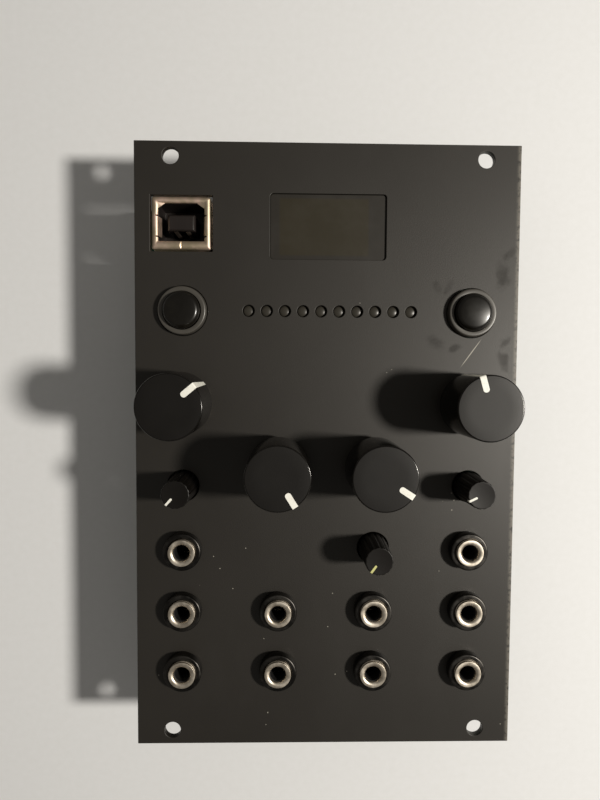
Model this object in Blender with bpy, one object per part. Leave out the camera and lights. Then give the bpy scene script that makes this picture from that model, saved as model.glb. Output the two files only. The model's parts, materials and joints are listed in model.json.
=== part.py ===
# Eurorack module lying on its back, front panel up.
# Metres, +Z out of the front panel, +Y towards the panel's top edge.
# The origin is under the panel's centre, where the parts behind the board touch the table.

from math import cos, pi, radians, sin, tau

import bmesh
import bpy
from mathutils import Matrix, Vector

# Levels: depth behind the board, the two plates and the room between them
BACK_DEPTH = 0.0088
BOARD_THICKNESS = 0.0016
PANEL_SPACING = 0.0098
PANEL_THICKNESS = 0.0016
SEAT_GAP = 0.0003
THREAD_GAP = 0.00012
SHAFT_GAP = 0.00015
SIDE_GAP = 0.0003
CUT_OVERRUN = 0.001
MERGE_DISTANCE = 0.000001

BOARD_BACK_Z = BACK_DEPTH + SEAT_GAP
BOARD_FRONT_Z = BOARD_BACK_Z + BOARD_THICKNESS
PANEL_BACK_Z = BOARD_FRONT_Z + PANEL_SPACING
PANEL_FRONT_Z = PANEL_BACK_Z + PANEL_THICKNESS

# Heights that pieces in front of the board share, measured from the panel's front face
BOARD_LEVEL = BOARD_FRONT_Z - PANEL_FRONT_Z
PANEL_BACK_LEVEL = PANEL_BACK_Z - PANEL_FRONT_Z
BODY_BOTTOM = BOARD_LEVEL + SEAT_GAP
BODY_TOP = PANEL_BACK_LEVEL - SEAT_GAP

# Panel outline, 3U high and 16 steps of the rails' grid wide, with its rail screw holes
GRID_PITCH = 0.00508
PANEL_GRID_STEPS = 16
PANEL_SIDE_CLEARANCE = 0.00038
PANEL_WIDTH = PANEL_GRID_STEPS * GRID_PITCH - PANEL_SIDE_CLEARANCE
PANEL_HEIGHT = 0.1285
RAIL_HOLE_RADIUS = 0.00175
RAIL_HOLE_FROM_LEFT = 0.0075
RAIL_HOLE_GRID_STEPS = 13
RAIL_HOLE_SPACING = RAIL_HOLE_GRID_STEPS * GRID_PITCH
RAIL_HOLE_FROM_EDGE = 0.003

# Control board, which leaves both ends of the panel to the rails
BOARD_SIDE_MARGIN = 0.00095
BOARD_END_MARGIN = 0.01025
BOARD_WIDTH = PANEL_WIDTH - BOARD_SIDE_MARGIN * 2
BOARD_HEIGHT = PANEL_HEIGHT - BOARD_END_MARGIN * 2
BOARD_CORNER_RADIUS = 0.0015

# Columns on the panel, in steps of the grid from its centre
OUTER_COLUMN_GRID_STEPS = 6
INNER_COLUMN_GRID_STEPS = 2
OUTER_COLUMN_X = OUTER_COLUMN_GRID_STEPS * GRID_PITCH
INNER_COLUMN_X = INNER_COLUMN_GRID_STEPS * GRID_PITCH

# Rows on the panel, from its centre, as shares of its height
BUTTON_ROW_SHARE = 0.228
UPPER_KNOB_ROW_SHARE = 0.078
MIDDLE_KNOB_ROW_SHARE = -0.026
OUTER_TRIMMER_ROW_SHARE = -0.060
INNER_TRIMMER_ROW_SHARE = -0.164
JACK_ROW_SHARE = -0.167
JACK_ROW_PITCH_SHARE = 0.102
BUTTON_Y = PANEL_HEIGHT * BUTTON_ROW_SHARE
UPPER_KNOB_Y = PANEL_HEIGHT * UPPER_KNOB_ROW_SHARE
MIDDLE_KNOB_Y = PANEL_HEIGHT * MIDDLE_KNOB_ROW_SHARE
OUTER_TRIMMER_Y = PANEL_HEIGHT * OUTER_TRIMMER_ROW_SHARE
INNER_TRIMMER_Y = PANEL_HEIGHT * INNER_TRIMMER_ROW_SHARE
JACK_ROW_Y = PANEL_HEIGHT * JACK_ROW_SHARE
JACK_ROW_PITCH = PANEL_HEIGHT * JACK_ROW_PITCH_SHARE

# Display: window in the panel, glass, its board and the pin strip behind it
WINDOW_WIDTH = 0.0244
WINDOW_HEIGHT = 0.0136
WINDOW_RADIUS = 0.0007
WINDOW_ROW_SHARE = 0.366
WINDOW_Y = PANEL_HEIGHT * WINDOW_ROW_SHARE
GLASS_WIDTH = 0.0267
GLASS_HEIGHT = 0.0193
GLASS_THICKNESS = 0.0014
GLASS_TOP_MARGIN = 0.0008
PANE_RECESS = 0.0008
DISPLAY_BOARD_WIDTH = 0.0273
DISPLAY_BOARD_HEIGHT = 0.0205
DISPLAY_BOARD_THICKNESS = 0.0012
DISPLAY_BOARD_RADIUS = 0.0010
STRIP_PINS = 4
STRIP_PITCH = 0.00254
STRIP_DEPTH = 0.0025
STRIP_NOTCH = 0.0004
STRIP_FROM_EDGE = 0.0022

# Indicator strip: ten lenses on one clear guide
INDICATOR_COUNT = 10
INDICATOR_PITCH_SHARE = 0.75
INDICATOR_PITCH = GRID_PITCH * INDICATOR_PITCH_SHARE
INDICATOR_X = 0.0005
INDICATOR_ROW_SHARE = 0.229
INDICATOR_Y = PANEL_HEIGHT * INDICATOR_ROW_SHARE
INDICATOR_HOLE_RADIUS = 0.00125
INDICATOR_LENS_RADIUS = 0.00105
INDICATOR_LENS_RISE = 0.0005
INDICATOR_RECESS = 0.0003
INDICATOR_BAR_DEPTH = 0.0030
INDICATOR_BAR_MARGIN = 0.0026

# USB type B socket
USB_SIDE_SHIFT = 0.00022
USB_X = -OUTER_COLUMN_X - USB_SIDE_SHIFT
USB_ROW_SHARE = 0.369
USB_Y = PANEL_HEIGHT * USB_ROW_SHARE
USB_WIDTH = 0.0122
USB_HEIGHT = 0.0108
USB_STANDOUT = 0.0003
USB_WALL = 0.0004
USB_CORNER_CUT = 0.0003
USB_LIP_WIDTH = 0.0015
USB_LIP_DROP = 0.0007
USB_KEY_CUT = 0.0012
USB_HOLE_GAP = 0.0004
USB_SEAM_WIDTH = 0.0003
USB_INSERT_FLOOR = 0.0025
USB_TONGUE_WIDTH = 0.0057
USB_TONGUE_HEIGHT = 0.0034
USB_TONGUE_DEPTH = 0.0016
USB_CONTACT_PITCH = 0.0025
USB_CONTACT_WIDTH = 0.0010
USB_CONTACT_DEPTH = 0.0003

# Jack sockets
JACK_BODY_WIDTH = 0.0090
JACK_BODY_HEIGHT = 0.0105
JACK_BODY_BEVEL = 0.0004
JACK_FLOOR = 0.0010
JACK_BUSHING_RADIUS = 0.0030
JACK_BORE_RADIUS = 0.00185
JACK_BUSHING_STANDOUT = 0.0030
JACK_MOUTH_CHAMFER = 0.0003
JACK_SPRING_SLOT_WIDTH = 0.0030
JACK_SPRING_SLOT_HEIGHT = 0.0050
JACK_NUT_RADIUS = 0.0040
JACK_NUT_HEIGHT = 0.0020
JACK_NUT_CHAMFER = 0.0003

# Large knobs and the pots under them; the upper right pot stands a little nearer the middle
UPPER_RIGHT_POT_SHIFT = 0.0007
POT_BODY_WIDTH = 0.0098
POT_BODY_HEIGHT = 0.0110
POT_BODY_BEVEL = 0.0005
POT_BUSHING_RADIUS = 0.0034
POT_BUSHING_STANDOUT = 0.0027
POT_NUT_FLATS = 0.0100
POT_NUT_HEIGHT = 0.0020
POT_SHAFT_RADIUS = 0.0030
POT_SHAFT_DEPTH = 0.0060
POT_SHAFT_END = 0.0030
POT_FLAT_FROM_AXIS = 0.0016
POT_FLAT_LENGTH = 0.0085
KNOB_HEIGHT = 0.0160
KNOB_LIFT = 0.0006
KNOB_TOP_RADIUS = 0.0064
KNOB_BASE_RADIUS = 0.0065
KNOB_EDGE_RADIUS = 0.0005
KNOB_WALL = 0.0010
KNOB_CEILING = 0.0025
KNOB_HUB_RADIUS = 0.0044
KNOB_POINTER_WIDTH = 0.0012
KNOB_POINTER_START = 0.0032
KNOB_POINTER_DEPTH = 0.0002

# Small fluted knobs and the pots under them
TRIMMER_BODY_SIZE = 0.0096
TRIMMER_BODY_TALL = 0.0050
TRIMMER_BODY_BEVEL = 0.0004
TRIMMER_PIVOT_RADIUS = 0.0022
TRIMMER_PIVOT_DEPTH = 0.0030
TRIMMER_HOLE_RADIUS = 0.0034
TRIMMER_HEIGHT = 0.0096
TRIMMER_TOP_RADIUS = 0.0026
TRIMMER_BASE_RADIUS = 0.0030
TRIMMER_CHAMFER = 0.0003
TRIMMER_FLUTES = 15
TRIMMER_FLUTE_DEPTH_SHARE = 0.07
TRIMMER_LINE_WIDTH = 0.0007
TRIMMER_LINE_DEPTH = 0.0004
TRIMMER_LINE_START = 0.0006

# Push buttons
BUTTON_HOLE_RADIUS = 0.0054
BUTTON_TRAVEL = 0.0004
BUTTON_RING_RADIUS = 0.0051
BUTTON_RING_TOP = 0.0007
BUTTON_RING_DEPTH = 0.0027
BUTTON_RING_CHAMFER = 0.0004
BUTTON_CAP_RADIUS = 0.0041
BUTTON_CAP_SHOULDER = 0.0009
BUTTON_CAP_RISE = 0.0014
BUTTON_FLANGE_RADIUS = 0.0049
BUTTON_FLANGE_THICKNESS = 0.0008
BUTTON_STEM_RADIUS = 0.0016
BUTTON_FOOT_RADIUS = 0.0032
BUTTON_FOOT_THICKNESS = 0.0010
SWITCH_SIZE = 0.0120
SWITCH_HEIGHT = 0.0045
SWITCH_BEVEL = 0.0006

# Power header on the back of the board
HEADER_ROW_SHARE = 0.370
HEADER_Y = BOARD_HEIGHT * HEADER_ROW_SHARE
HEADER_WIDTH = 0.0279
HEADER_DEPTH = 0.0089
HEADER_WALL = 0.0012
HEADER_FLOOR = 0.0022
HEADER_KEY_WIDTH = 0.0045
HEADER_PIN_COLUMNS = 8
HEADER_PIN_ROWS = 2
HEADER_PIN_PITCH = 0.00254
HEADER_PIN_SIZE = 0.00064
HEADER_PIN_RECESS = 0.0012

# Parts on the back of the board, placed by shares of its width and height
CAPACITOR_COLUMN_SHARE = 0.316
CAPACITOR_ROW_SHARE = -0.407
CAPACITOR_X = BOARD_WIDTH * CAPACITOR_COLUMN_SHARE
CAPACITOR_Y = BOARD_HEIGHT * CAPACITOR_ROW_SHARE
CAPACITOR_RADIUS = 0.0040
CAPACITOR_BASE_SIZE = 0.0084
CAPACITOR_BASE_THICKNESS = 0.0012
CAPACITOR_EDGE = 0.0004
CAPACITOR_GROOVE = 0.0004
PROCESSOR_ROW_SHARE = 0.046
PROCESSOR_PLACE = (0, BOARD_HEIGHT * PROCESSOR_ROW_SHARE)
PROCESSOR_SIZE = 0.0100
PROCESSOR_LEGS = 8
AUDIO_CHIP_COLUMN_SHARE = 0.253
AUDIO_CHIP_ROW_SHARE = -0.157
AUDIO_CHIP_PLACE = (BOARD_WIDTH * AUDIO_CHIP_COLUMN_SHARE, BOARD_HEIGHT * AUDIO_CHIP_ROW_SHARE)
AUDIO_CHIP_WIDTH = 0.0053
AUDIO_CHIP_LENGTH = 0.0102
AUDIO_CHIP_LEGS = 8
CHIP_THICKNESS = 0.0014
CHIP_BEVEL = 0.0002
LEG_REACH = 0.0010
LEG_THICKNESS = 0.0002
LEG_WIDTH_SHARE = 0.45
REGULATOR_COLUMN_SHARE = -0.304
REGULATOR_ROW_SHARE = 0.185
REGULATOR_X = BOARD_WIDTH * REGULATOR_COLUMN_SHARE
REGULATOR_Y = BOARD_HEIGHT * REGULATOR_ROW_SHARE
REGULATOR_WIDTH = 0.0066
REGULATOR_LENGTH = 0.0061
REGULATOR_THICKNESS = 0.0023
REGULATOR_TAB_LENGTH = 0.0027
REGULATOR_TAB_THICKNESS = 0.0005
CRYSTAL_COLUMN_SHARE = 0.139
CRYSTAL_ROW_SHARE = 0.056
CRYSTAL_X = BOARD_WIDTH * CRYSTAL_COLUMN_SHARE
CRYSTAL_Y = BOARD_HEIGHT * CRYSTAL_ROW_SHARE
CRYSTAL_LENGTH = 0.0114
CRYSTAL_WIDTH = 0.0047
CRYSTAL_THICKNESS = 0.0040
CRYSTAL_EDGE = 0.0004

# Facet counts
FINE_STEPS = 24
ROUND_STEPS = 20
SMALL_STEPS = 14
TINY_STEPS = 8
CORNER_STEPS = 2
SMOOTH_LIMIT = radians(35)

# Each large knob: its place and where its pointer stands, clockwise from the panel's top
KNOBS = {
    "upper_left": (-OUTER_COLUMN_X, UPPER_KNOB_Y, radians(50)),
    "upper_right": (OUTER_COLUMN_X - UPPER_RIGHT_POT_SHIFT, UPPER_KNOB_Y, radians(-16)),
    "middle_left": (-INNER_COLUMN_X, MIDDLE_KNOB_Y, radians(148)),
    "middle_right": (INNER_COLUMN_X, MIDDLE_KNOB_Y, radians(123)),
}
TRIMMERS = {
    "left": (-OUTER_COLUMN_X, OUTER_TRIMMER_Y, radians(-138)),
    "right": (OUTER_COLUMN_X, OUTER_TRIMMER_Y, radians(-116)),
    "centre": (INNER_COLUMN_X, INNER_TRIMMER_Y, radians(-144)),
}
BUTTONS = {"left": -OUTER_COLUMN_X, "right": OUTER_COLUMN_X}

# Finishes: colour, roughness, metallic
FINISHES = {
    "panel_black": ((0.022, 0.021, 0.019), 0.62, 0.0),
    "board_green": ((0.010, 0.045, 0.022), 0.45, 0.0),
    "display_glass": ((0.010, 0.010, 0.011), 0.12, 0.0),
    "black_plastic": ((0.014, 0.013, 0.012), 0.45, 0.0),
    "knob_black": ((0.012, 0.011, 0.010), 0.55, 0.0),
    "gloss_black": ((0.008, 0.008, 0.008), 0.15, 0.0),
    "ring_grey": ((0.070, 0.068, 0.064), 0.40, 0.0),
    "white_paint": ((0.780, 0.760, 0.700), 0.50, 0.0),
    "plated_steel": ((0.620, 0.570, 0.500), 0.28, 1.0),
    "black_nickel": ((0.060, 0.057, 0.052), 0.30, 1.0),
    "bright_metal": ((0.700, 0.690, 0.670), 0.25, 1.0),
    "clear_lens": ((0.060, 0.060, 0.060), 0.15, 0.0),
}


def clear_scene():
    for thing in list(bpy.data.objects):
        bpy.data.objects.remove(thing, do_unlink=True)


def finish(name):
    """The Principled material of one finish, made on first use."""
    found = bpy.data.materials.get(name)
    if found:
        return found
    colour, roughness, metallic = FINISHES[name]
    material = bpy.data.materials.new(name)
    material.use_nodes = True
    shader = material.node_tree.nodes["Principled BSDF"]
    shader.inputs["Base Color"].default_value = (*colour, 1)
    shader.inputs["Roughness"].default_value = roughness
    shader.inputs["Metallic"].default_value = metallic
    return material


def circle(radius, steps, centre=(0, 0)):
    """Points of a circle in the plane of the panel."""
    turns = [tau * step / steps for step in range(steps)]
    return [(centre[0] + radius * cos(t), centre[1] + radius * sin(t)) for t in turns]


def rectangle(width, height, centre=(0, 0)):
    """Corners of a rectangle, counter-clockwise."""
    signs = ((-1, -1), (1, -1), (1, 1), (-1, 1))
    return [(centre[0] + x * width / 2, centre[1] + y * height / 2) for x, y in signs]


def rounded_rectangle(width, height, radius, centre=(0, 0)):
    """A rectangle whose corners are arcs."""
    points = []
    for quarter, (x, y) in enumerate(((1, 1), (-1, 1), (-1, -1), (1, -1))):
        corner_x = centre[0] + x * (width / 2 - radius)
        corner_y = centre[1] + y * (height / 2 - radius)
        for step in range(CORNER_STEPS + 1):
            turn = (quarter + step / CORNER_STEPS) * pi / 2
            points.append((corner_x + radius * cos(turn), corner_y + radius * sin(turn)))
    return points


def keyed_rectangle(width, height, low_cut, high_cut, centre=(0, 0)):
    """A rectangle whose corners are cut off straight, the two upper ones by another length."""
    x, y = width / 2, height / 2
    corners = (
        (-x, -y + low_cut), (-x + low_cut, -y), (x - low_cut, -y), (x, -y + low_cut),
        (x, y - high_cut), (x - high_cut, y), (-x + high_cut, y), (-x, y - high_cut),
    )
    return [(centre[0] + px, centre[1] + py) for px, py in corners]


def d_outline(radius, flat, steps):
    """A circle with one side cut flat across +Y, as on a D-shaped shaft."""
    return [(x, min(y, flat)) for x, y in circle(radius, steps)]


def fluted_outline(radius, flutes):
    """A circle with a shallow valley between each two ribs, three points to a rib."""
    points = []
    for step in range(flutes * 3):
        reach = radius if step % 3 else radius * (1 - TRIMMER_FLUTE_DEPTH_SHARE)
        turn = tau * step / (flutes * 3)
        points.append((reach * cos(turn), reach * sin(turn)))
    return points


def comb_side(length, teeth, reach):
    """One side of a chip with its legs: places along the side and how far each stands out."""
    pitch = length / teeth
    leg = pitch * LEG_WIDTH_SHARE
    steps = []
    for tooth in range(teeth):
        start = -length / 2 + pitch * tooth + (pitch - leg) / 2
        steps += [(start, 0), (start, reach), (start + leg, reach), (start + leg, 0)]
    return steps


def comb_outline(width, length, side_legs, end_legs):
    """A chip's footprint with legs on its two long sides and, if it has them, on its ends."""
    points = []
    for quarter in range(4):
        across, along = (width, length) if quarter % 2 == 0 else (length, width)
        teeth = side_legs if quarter % 2 == 0 else end_legs
        turn = Matrix.Rotation(quarter * pi / 2, 2)
        run = comb_side(along, teeth, LEG_REACH) if teeth else [(-along / 2, 0)]
        for place, reach in run:
            corner = turn @ Vector((across / 2 + reach, place))
            points.append((corner.x, corner.y))
    return points


def add_prism(mesh, outline, low, high):
    """Adds a closed prism that stands on an outline."""
    base = mesh.faces.new([mesh.verts.new((x, y, low)) for x, y in outline])
    lifted = bmesh.ops.extrude_face_region(mesh, geom=[base])["geom"]
    tops = [item for item in lifted if isinstance(item, bmesh.types.BMVert)]
    bmesh.ops.translate(mesh, verts=tops, vec=(0, 0, high - low))
    return tops


def add_slab(mesh, outline, width):
    """Adds a closed slab whose outline lies in the YZ plane, centred on X."""
    base = mesh.faces.new([mesh.verts.new((-width / 2, y, z)) for y, z in outline])
    moved = bmesh.ops.extrude_face_region(mesh, geom=[base])["geom"]
    sides = [item for item in moved if isinstance(item, bmesh.types.BMVert)]
    bmesh.ops.translate(mesh, verts=sides, vec=(width, 0, 0))


def add_turned(mesh, profile, steps, ring=False):
    """Adds a body turned about Z from a profile of (radius, height); a ring's profile closes on itself."""
    points = [mesh.verts.new((radius, 0, height)) for radius, height in profile]
    edges = [mesh.edges.new(pair) for pair in zip(points, points[1:])]
    if ring:
        edges.append(mesh.edges.new((points[-1], points[0])))
    bmesh.ops.spin(
        mesh, geom=points + edges, cent=(0, 0, 0), axis=(0, 0, 1),
        angle=tau, steps=steps, use_merge=True,
    )
    bmesh.ops.remove_doubles(mesh, verts=mesh.verts, dist=MERGE_DISTANCE)


def add_loft(mesh, outlines):
    """Adds a closed wall that runs through outlines of equal count and back to the first."""
    rings = [[mesh.verts.new(point) for point in outline] for outline in outlines]
    for ring, after in zip(rings, rings[1:] + rings[:1]):
        count = len(ring)
        for index in range(count):
            follow = (index + 1) % count
            mesh.faces.new((ring[index], ring[follow], after[follow], after[index]))


def make_object(name, mesh, finish_name, place, turn):
    """Turns a bmesh into a placed object of one finish, shaded smooth but for its sharp edges."""
    bmesh.ops.recalc_face_normals(mesh, faces=mesh.faces)
    data = bpy.data.meshes.new(name)
    mesh.to_mesh(data)
    mesh.free()
    data.shade_smooth()
    data.set_sharp_from_angle(angle=SMOOTH_LIMIT)
    data.materials.append(finish(finish_name))
    thing = bpy.data.objects.new(name, data)
    thing.location = place
    thing.rotation_euler = (0, 0, turn)
    bpy.context.scene.collection.objects.link(thing)
    return thing


def piece(name, mesh, finish_name, place=(0, 0, 0), turn=0.0):
    return make_object(name, mesh, finish_name, place, turn)


def tool(name, mesh, finish_name, place=(0, 0, 0), turn=0.0):
    """A shape that only cuts or joins: it is drawn as wire and never rendered."""
    thing = make_object(name, mesh, finish_name, place, turn)
    thing.hide_render = True
    thing.display_type = "WIRE"
    return thing


def combine(target, other, operation):
    step = target.modifiers.new(other.name, "BOOLEAN")
    step.operation = operation
    step.solver = "EXACT"
    step.material_mode = "TRANSFER"
    step.object = other


def bevel(target, width, segments=1):
    step = target.modifiers.new("edges", "BEVEL")
    step.width = width
    step.segments = segments
    step.limit_method = "ANGLE"
    step.angle_limit = radians(60)


def on_panel(x, y):
    return (x, y, PANEL_FRONT_Z)


def jack_places():
    """The ten jacks: three rows of the outer columns, two of the inner ones."""
    places = []
    for row in range(3):
        y = JACK_ROW_Y - row * JACK_ROW_PITCH
        columns = (-OUTER_COLUMN_X, OUTER_COLUMN_X) if row == 0 else (
            -OUTER_COLUMN_X, -INNER_COLUMN_X, INNER_COLUMN_X, OUTER_COLUMN_X)
        places += [(x, y) for x in columns]
    return places


def indicator_places():
    first = INDICATOR_X - INDICATOR_PITCH * (INDICATOR_COUNT - 1) / 2
    return [(first + INDICATOR_PITCH * index, INDICATOR_Y) for index in range(INDICATOR_COUNT)]


def panel_cutouts():
    """Outlines of every hole in the front panel, around what passes through it."""
    left = RAIL_HOLE_FROM_LEFT - PANEL_WIDTH / 2
    edge_y = PANEL_HEIGHT / 2 - RAIL_HOLE_FROM_EDGE
    outlines = [
        circle(RAIL_HOLE_RADIUS, SMALL_STEPS, (x, y))
        for x in (left, left + RAIL_HOLE_SPACING)
        for y in (-edge_y, edge_y)
    ]
    usb_size = (USB_WIDTH + USB_HOLE_GAP * 2, USB_HEIGHT + USB_HOLE_GAP * 2)
    outlines.append(rectangle(*usb_size, (USB_X, USB_Y)))
    outlines.append(rounded_rectangle(WINDOW_WIDTH, WINDOW_HEIGHT, WINDOW_RADIUS, (0, WINDOW_Y)))
    outlines += [circle(INDICATOR_HOLE_RADIUS, TINY_STEPS, at) for at in indicator_places()]
    outlines += [circle(BUTTON_HOLE_RADIUS, FINE_STEPS, (x, BUTTON_Y)) for x in BUTTONS.values()]
    pot_hole = POT_BUSHING_RADIUS + SIDE_GAP
    outlines += [circle(pot_hole, SMALL_STEPS, (x, y)) for x, y, _ in KNOBS.values()]
    outlines += [circle(TRIMMER_HOLE_RADIUS, SMALL_STEPS, (x, y)) for x, y, _ in TRIMMERS.values()]
    jack_hole = JACK_BUSHING_RADIUS + SIDE_GAP
    outlines += [circle(jack_hole, SMALL_STEPS, at) for at in jack_places()]
    return outlines


def front_panel():
    plate = bmesh.new()
    add_prism(plate, rectangle(PANEL_WIDTH, PANEL_HEIGHT), PANEL_BACK_Z, PANEL_FRONT_Z)
    panel = piece("front_panel", plate, "panel_black")
    holes = bmesh.new()
    for outline in panel_cutouts():
        add_prism(holes, outline, PANEL_BACK_Z - CUT_OVERRUN, PANEL_FRONT_Z + CUT_OVERRUN)
    combine(panel, tool("panel_holes", holes, "panel_black"), "DIFFERENCE")


def control_board():
    plate = bmesh.new()
    outline = rounded_rectangle(BOARD_WIDTH, BOARD_HEIGHT, BOARD_CORNER_RADIUS)
    add_prism(plate, outline, BOARD_BACK_Z, BOARD_FRONT_Z)
    piece("control_board", plate, "board_green")


def strip_outline():
    """The pin strip seen from above, with a notch between each two pins."""
    length = STRIP_PINS * STRIP_PITCH
    points = []
    for side in (-1, 1):
        for pin in range(STRIP_PINS):
            start = (-length / 2 + pin * STRIP_PITCH) * -side
            end = start - STRIP_PITCH * side
            deep = side * STRIP_DEPTH / 2
            shallow = side * (STRIP_DEPTH / 2 - STRIP_NOTCH)
            points += [
                (start, shallow), (start - STRIP_NOTCH * side, deep),
                (end + STRIP_NOTCH * side, deep),
            ]
        points.append((end, shallow))
    return [(-x, y) for x, y in points]


def display():
    """Glass with a pane that fills the window, the display's own board and the strip that carries it."""
    glass_top = PANEL_BACK_Z - SEAT_GAP
    glass_bottom = glass_top - GLASS_THICKNESS
    board_top = glass_bottom - SEAT_GAP
    board_bottom = board_top - DISPLAY_BOARD_THICKNESS
    upper_edge = WINDOW_Y + WINDOW_HEIGHT / 2 + GLASS_TOP_MARGIN
    glass = bmesh.new()
    outline = rectangle(GLASS_WIDTH, GLASS_HEIGHT, (0, upper_edge - GLASS_HEIGHT / 2))
    add_prism(glass, outline, glass_bottom, glass_top)
    body = piece("display_glass", glass, "display_glass")
    pane = bmesh.new()
    outline = rounded_rectangle(
        WINDOW_WIDTH - SIDE_GAP * 2, WINDOW_HEIGHT - SIDE_GAP * 2, WINDOW_RADIUS, (0, WINDOW_Y))
    add_prism(pane, outline, glass_top - CUT_OVERRUN, PANEL_FRONT_Z - PANE_RECESS)
    combine(body, tool("display_pane", pane, "display_glass"), "UNION")
    board = bmesh.new()
    middle = (0, upper_edge - DISPLAY_BOARD_HEIGHT / 2)
    outline = rounded_rectangle(
        DISPLAY_BOARD_WIDTH, DISPLAY_BOARD_HEIGHT, DISPLAY_BOARD_RADIUS, middle)
    add_prism(board, outline, board_bottom, board_top)
    piece("display_board", board, "board_green")
    strip = bmesh.new()
    strip_y = upper_edge - DISPLAY_BOARD_HEIGHT + STRIP_FROM_EDGE
    add_prism(strip, strip_outline(), BOARD_FRONT_Z + SEAT_GAP, board_bottom - SEAT_GAP)
    piece("display_header", strip, "black_plastic", (0, strip_y, 0))


def indicator_strip():
    """One clear guide on the board, with a lens that stands into each hole of the panel."""
    bar = bmesh.new()
    length = INDICATOR_PITCH * (INDICATOR_COUNT - 1) + INDICATOR_BAR_MARGIN * 2
    outline = rectangle(length, INDICATOR_BAR_DEPTH, (INDICATOR_X, INDICATOR_Y))
    add_prism(bar, outline, BODY_BOTTOM, BODY_TOP)
    guide = piece("indicator_strip", bar, "clear_lens", on_panel(0, 0))
    lenses = bmesh.new()
    crown = INDICATOR_LENS_RADIUS
    profile = [(0, BODY_TOP - CUT_OVERRUN), (crown, BODY_TOP - CUT_OVERRUN)]
    for step in range(3):
        turn = step * pi / 4
        drop = INDICATOR_RECESS + INDICATOR_LENS_RISE * (1 - sin(turn))
        profile.append((crown * cos(turn), -drop))
    for x, y in indicator_places():
        lens = bmesh.new()
        add_turned(lens, profile, TINY_STEPS)
        bmesh.ops.translate(lens, verts=lens.verts, vec=(x, y, 0))
        data = bpy.data.meshes.new("lens")
        lens.to_mesh(data)
        lens.free()
        lenses.from_mesh(data)
        bpy.data.meshes.remove(data)
    combine(guide, tool("lenses", lenses, "clear_lens", on_panel(0, 0)), "UNION")


def usb_outline(inset, low_cut, high_cut, level):
    points = keyed_rectangle(USB_WIDTH - inset * 2, USB_HEIGHT - inset * 2, low_cut, high_cut)
    return [(x, y, level) for x, y in points]


def usb_shell():
    """A folded shell: outer wall, sloping lips round the keyed mouth, inner wall, open at the board."""
    cut = USB_CORNER_CUT
    top = USB_STANDOUT
    lip_bottom = top - USB_LIP_DROP
    shell = bmesh.new()
    add_loft(shell, [
        usb_outline(0, cut, cut, BODY_BOTTOM),
        usb_outline(0, cut, cut, top - USB_WALL),
        usb_outline(USB_WALL, cut, cut, top),
        usb_outline(USB_LIP_WIDTH, cut, USB_KEY_CUT, lip_bottom),
        usb_outline(USB_LIP_WIDTH, cut, USB_KEY_CUT, lip_bottom - USB_WALL),
        usb_outline(USB_WALL, cut, cut, lip_bottom - USB_WALL),
        usb_outline(USB_WALL, cut, cut, BODY_BOTTOM),
    ])
    body = piece("usb_shell", shell, "plated_steel", on_panel(USB_X, USB_Y))
    seam = bmesh.new()
    outer_y = -USB_HEIGHT / 2
    middle = (0, outer_y + USB_LIP_WIDTH / 2 + USB_WALL)
    add_prism(seam, rectangle(USB_SEAM_WIDTH, USB_LIP_WIDTH, middle), BODY_TOP, top + CUT_OVERRUN)
    combine(body, tool("usb_seam", seam, "plated_steel", on_panel(USB_X, USB_Y)), "DIFFERENCE")


def usb_insert():
    """The plastic body that fills the shell's foot, with the tongue that the plug closes round."""
    base = bmesh.new()
    inset = USB_WALL + SIDE_GAP
    floor_top = BODY_BOTTOM + USB_INSERT_FLOOR
    outline = keyed_rectangle(
        USB_WIDTH - inset * 2, USB_HEIGHT - inset * 2, USB_CORNER_CUT, USB_CORNER_CUT)
    add_prism(base, outline, BODY_BOTTOM, floor_top)
    body = piece("usb_insert", base, "black_plastic", on_panel(USB_X, USB_Y))
    tongue = bmesh.new()
    tip = USB_STANDOUT - USB_TONGUE_DEPTH
    outline = keyed_rectangle(
        USB_TONGUE_WIDTH, USB_TONGUE_HEIGHT, USB_CORNER_CUT, USB_CORNER_CUT)
    add_prism(tongue, outline, floor_top - CUT_OVERRUN, tip)
    combine(body, tool("usb_tongue", tongue, "black_plastic", on_panel(USB_X, USB_Y)), "UNION")
    contacts = bmesh.new()
    for side in (-1, 1):
        face_y = side * USB_TONGUE_HEIGHT / 2
        for column in (-1, 1):
            centre = (column * USB_CONTACT_PITCH / 2, face_y)
            outline = rectangle(USB_CONTACT_WIDTH, USB_CONTACT_DEPTH * 2, centre)
            add_prism(contacts, outline, floor_top + SEAT_GAP, tip + CUT_OVERRUN)
    grooves = tool("usb_contacts", contacts, "bright_metal", on_panel(USB_X, USB_Y))
    combine(body, grooves, "DIFFERENCE")


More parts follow.
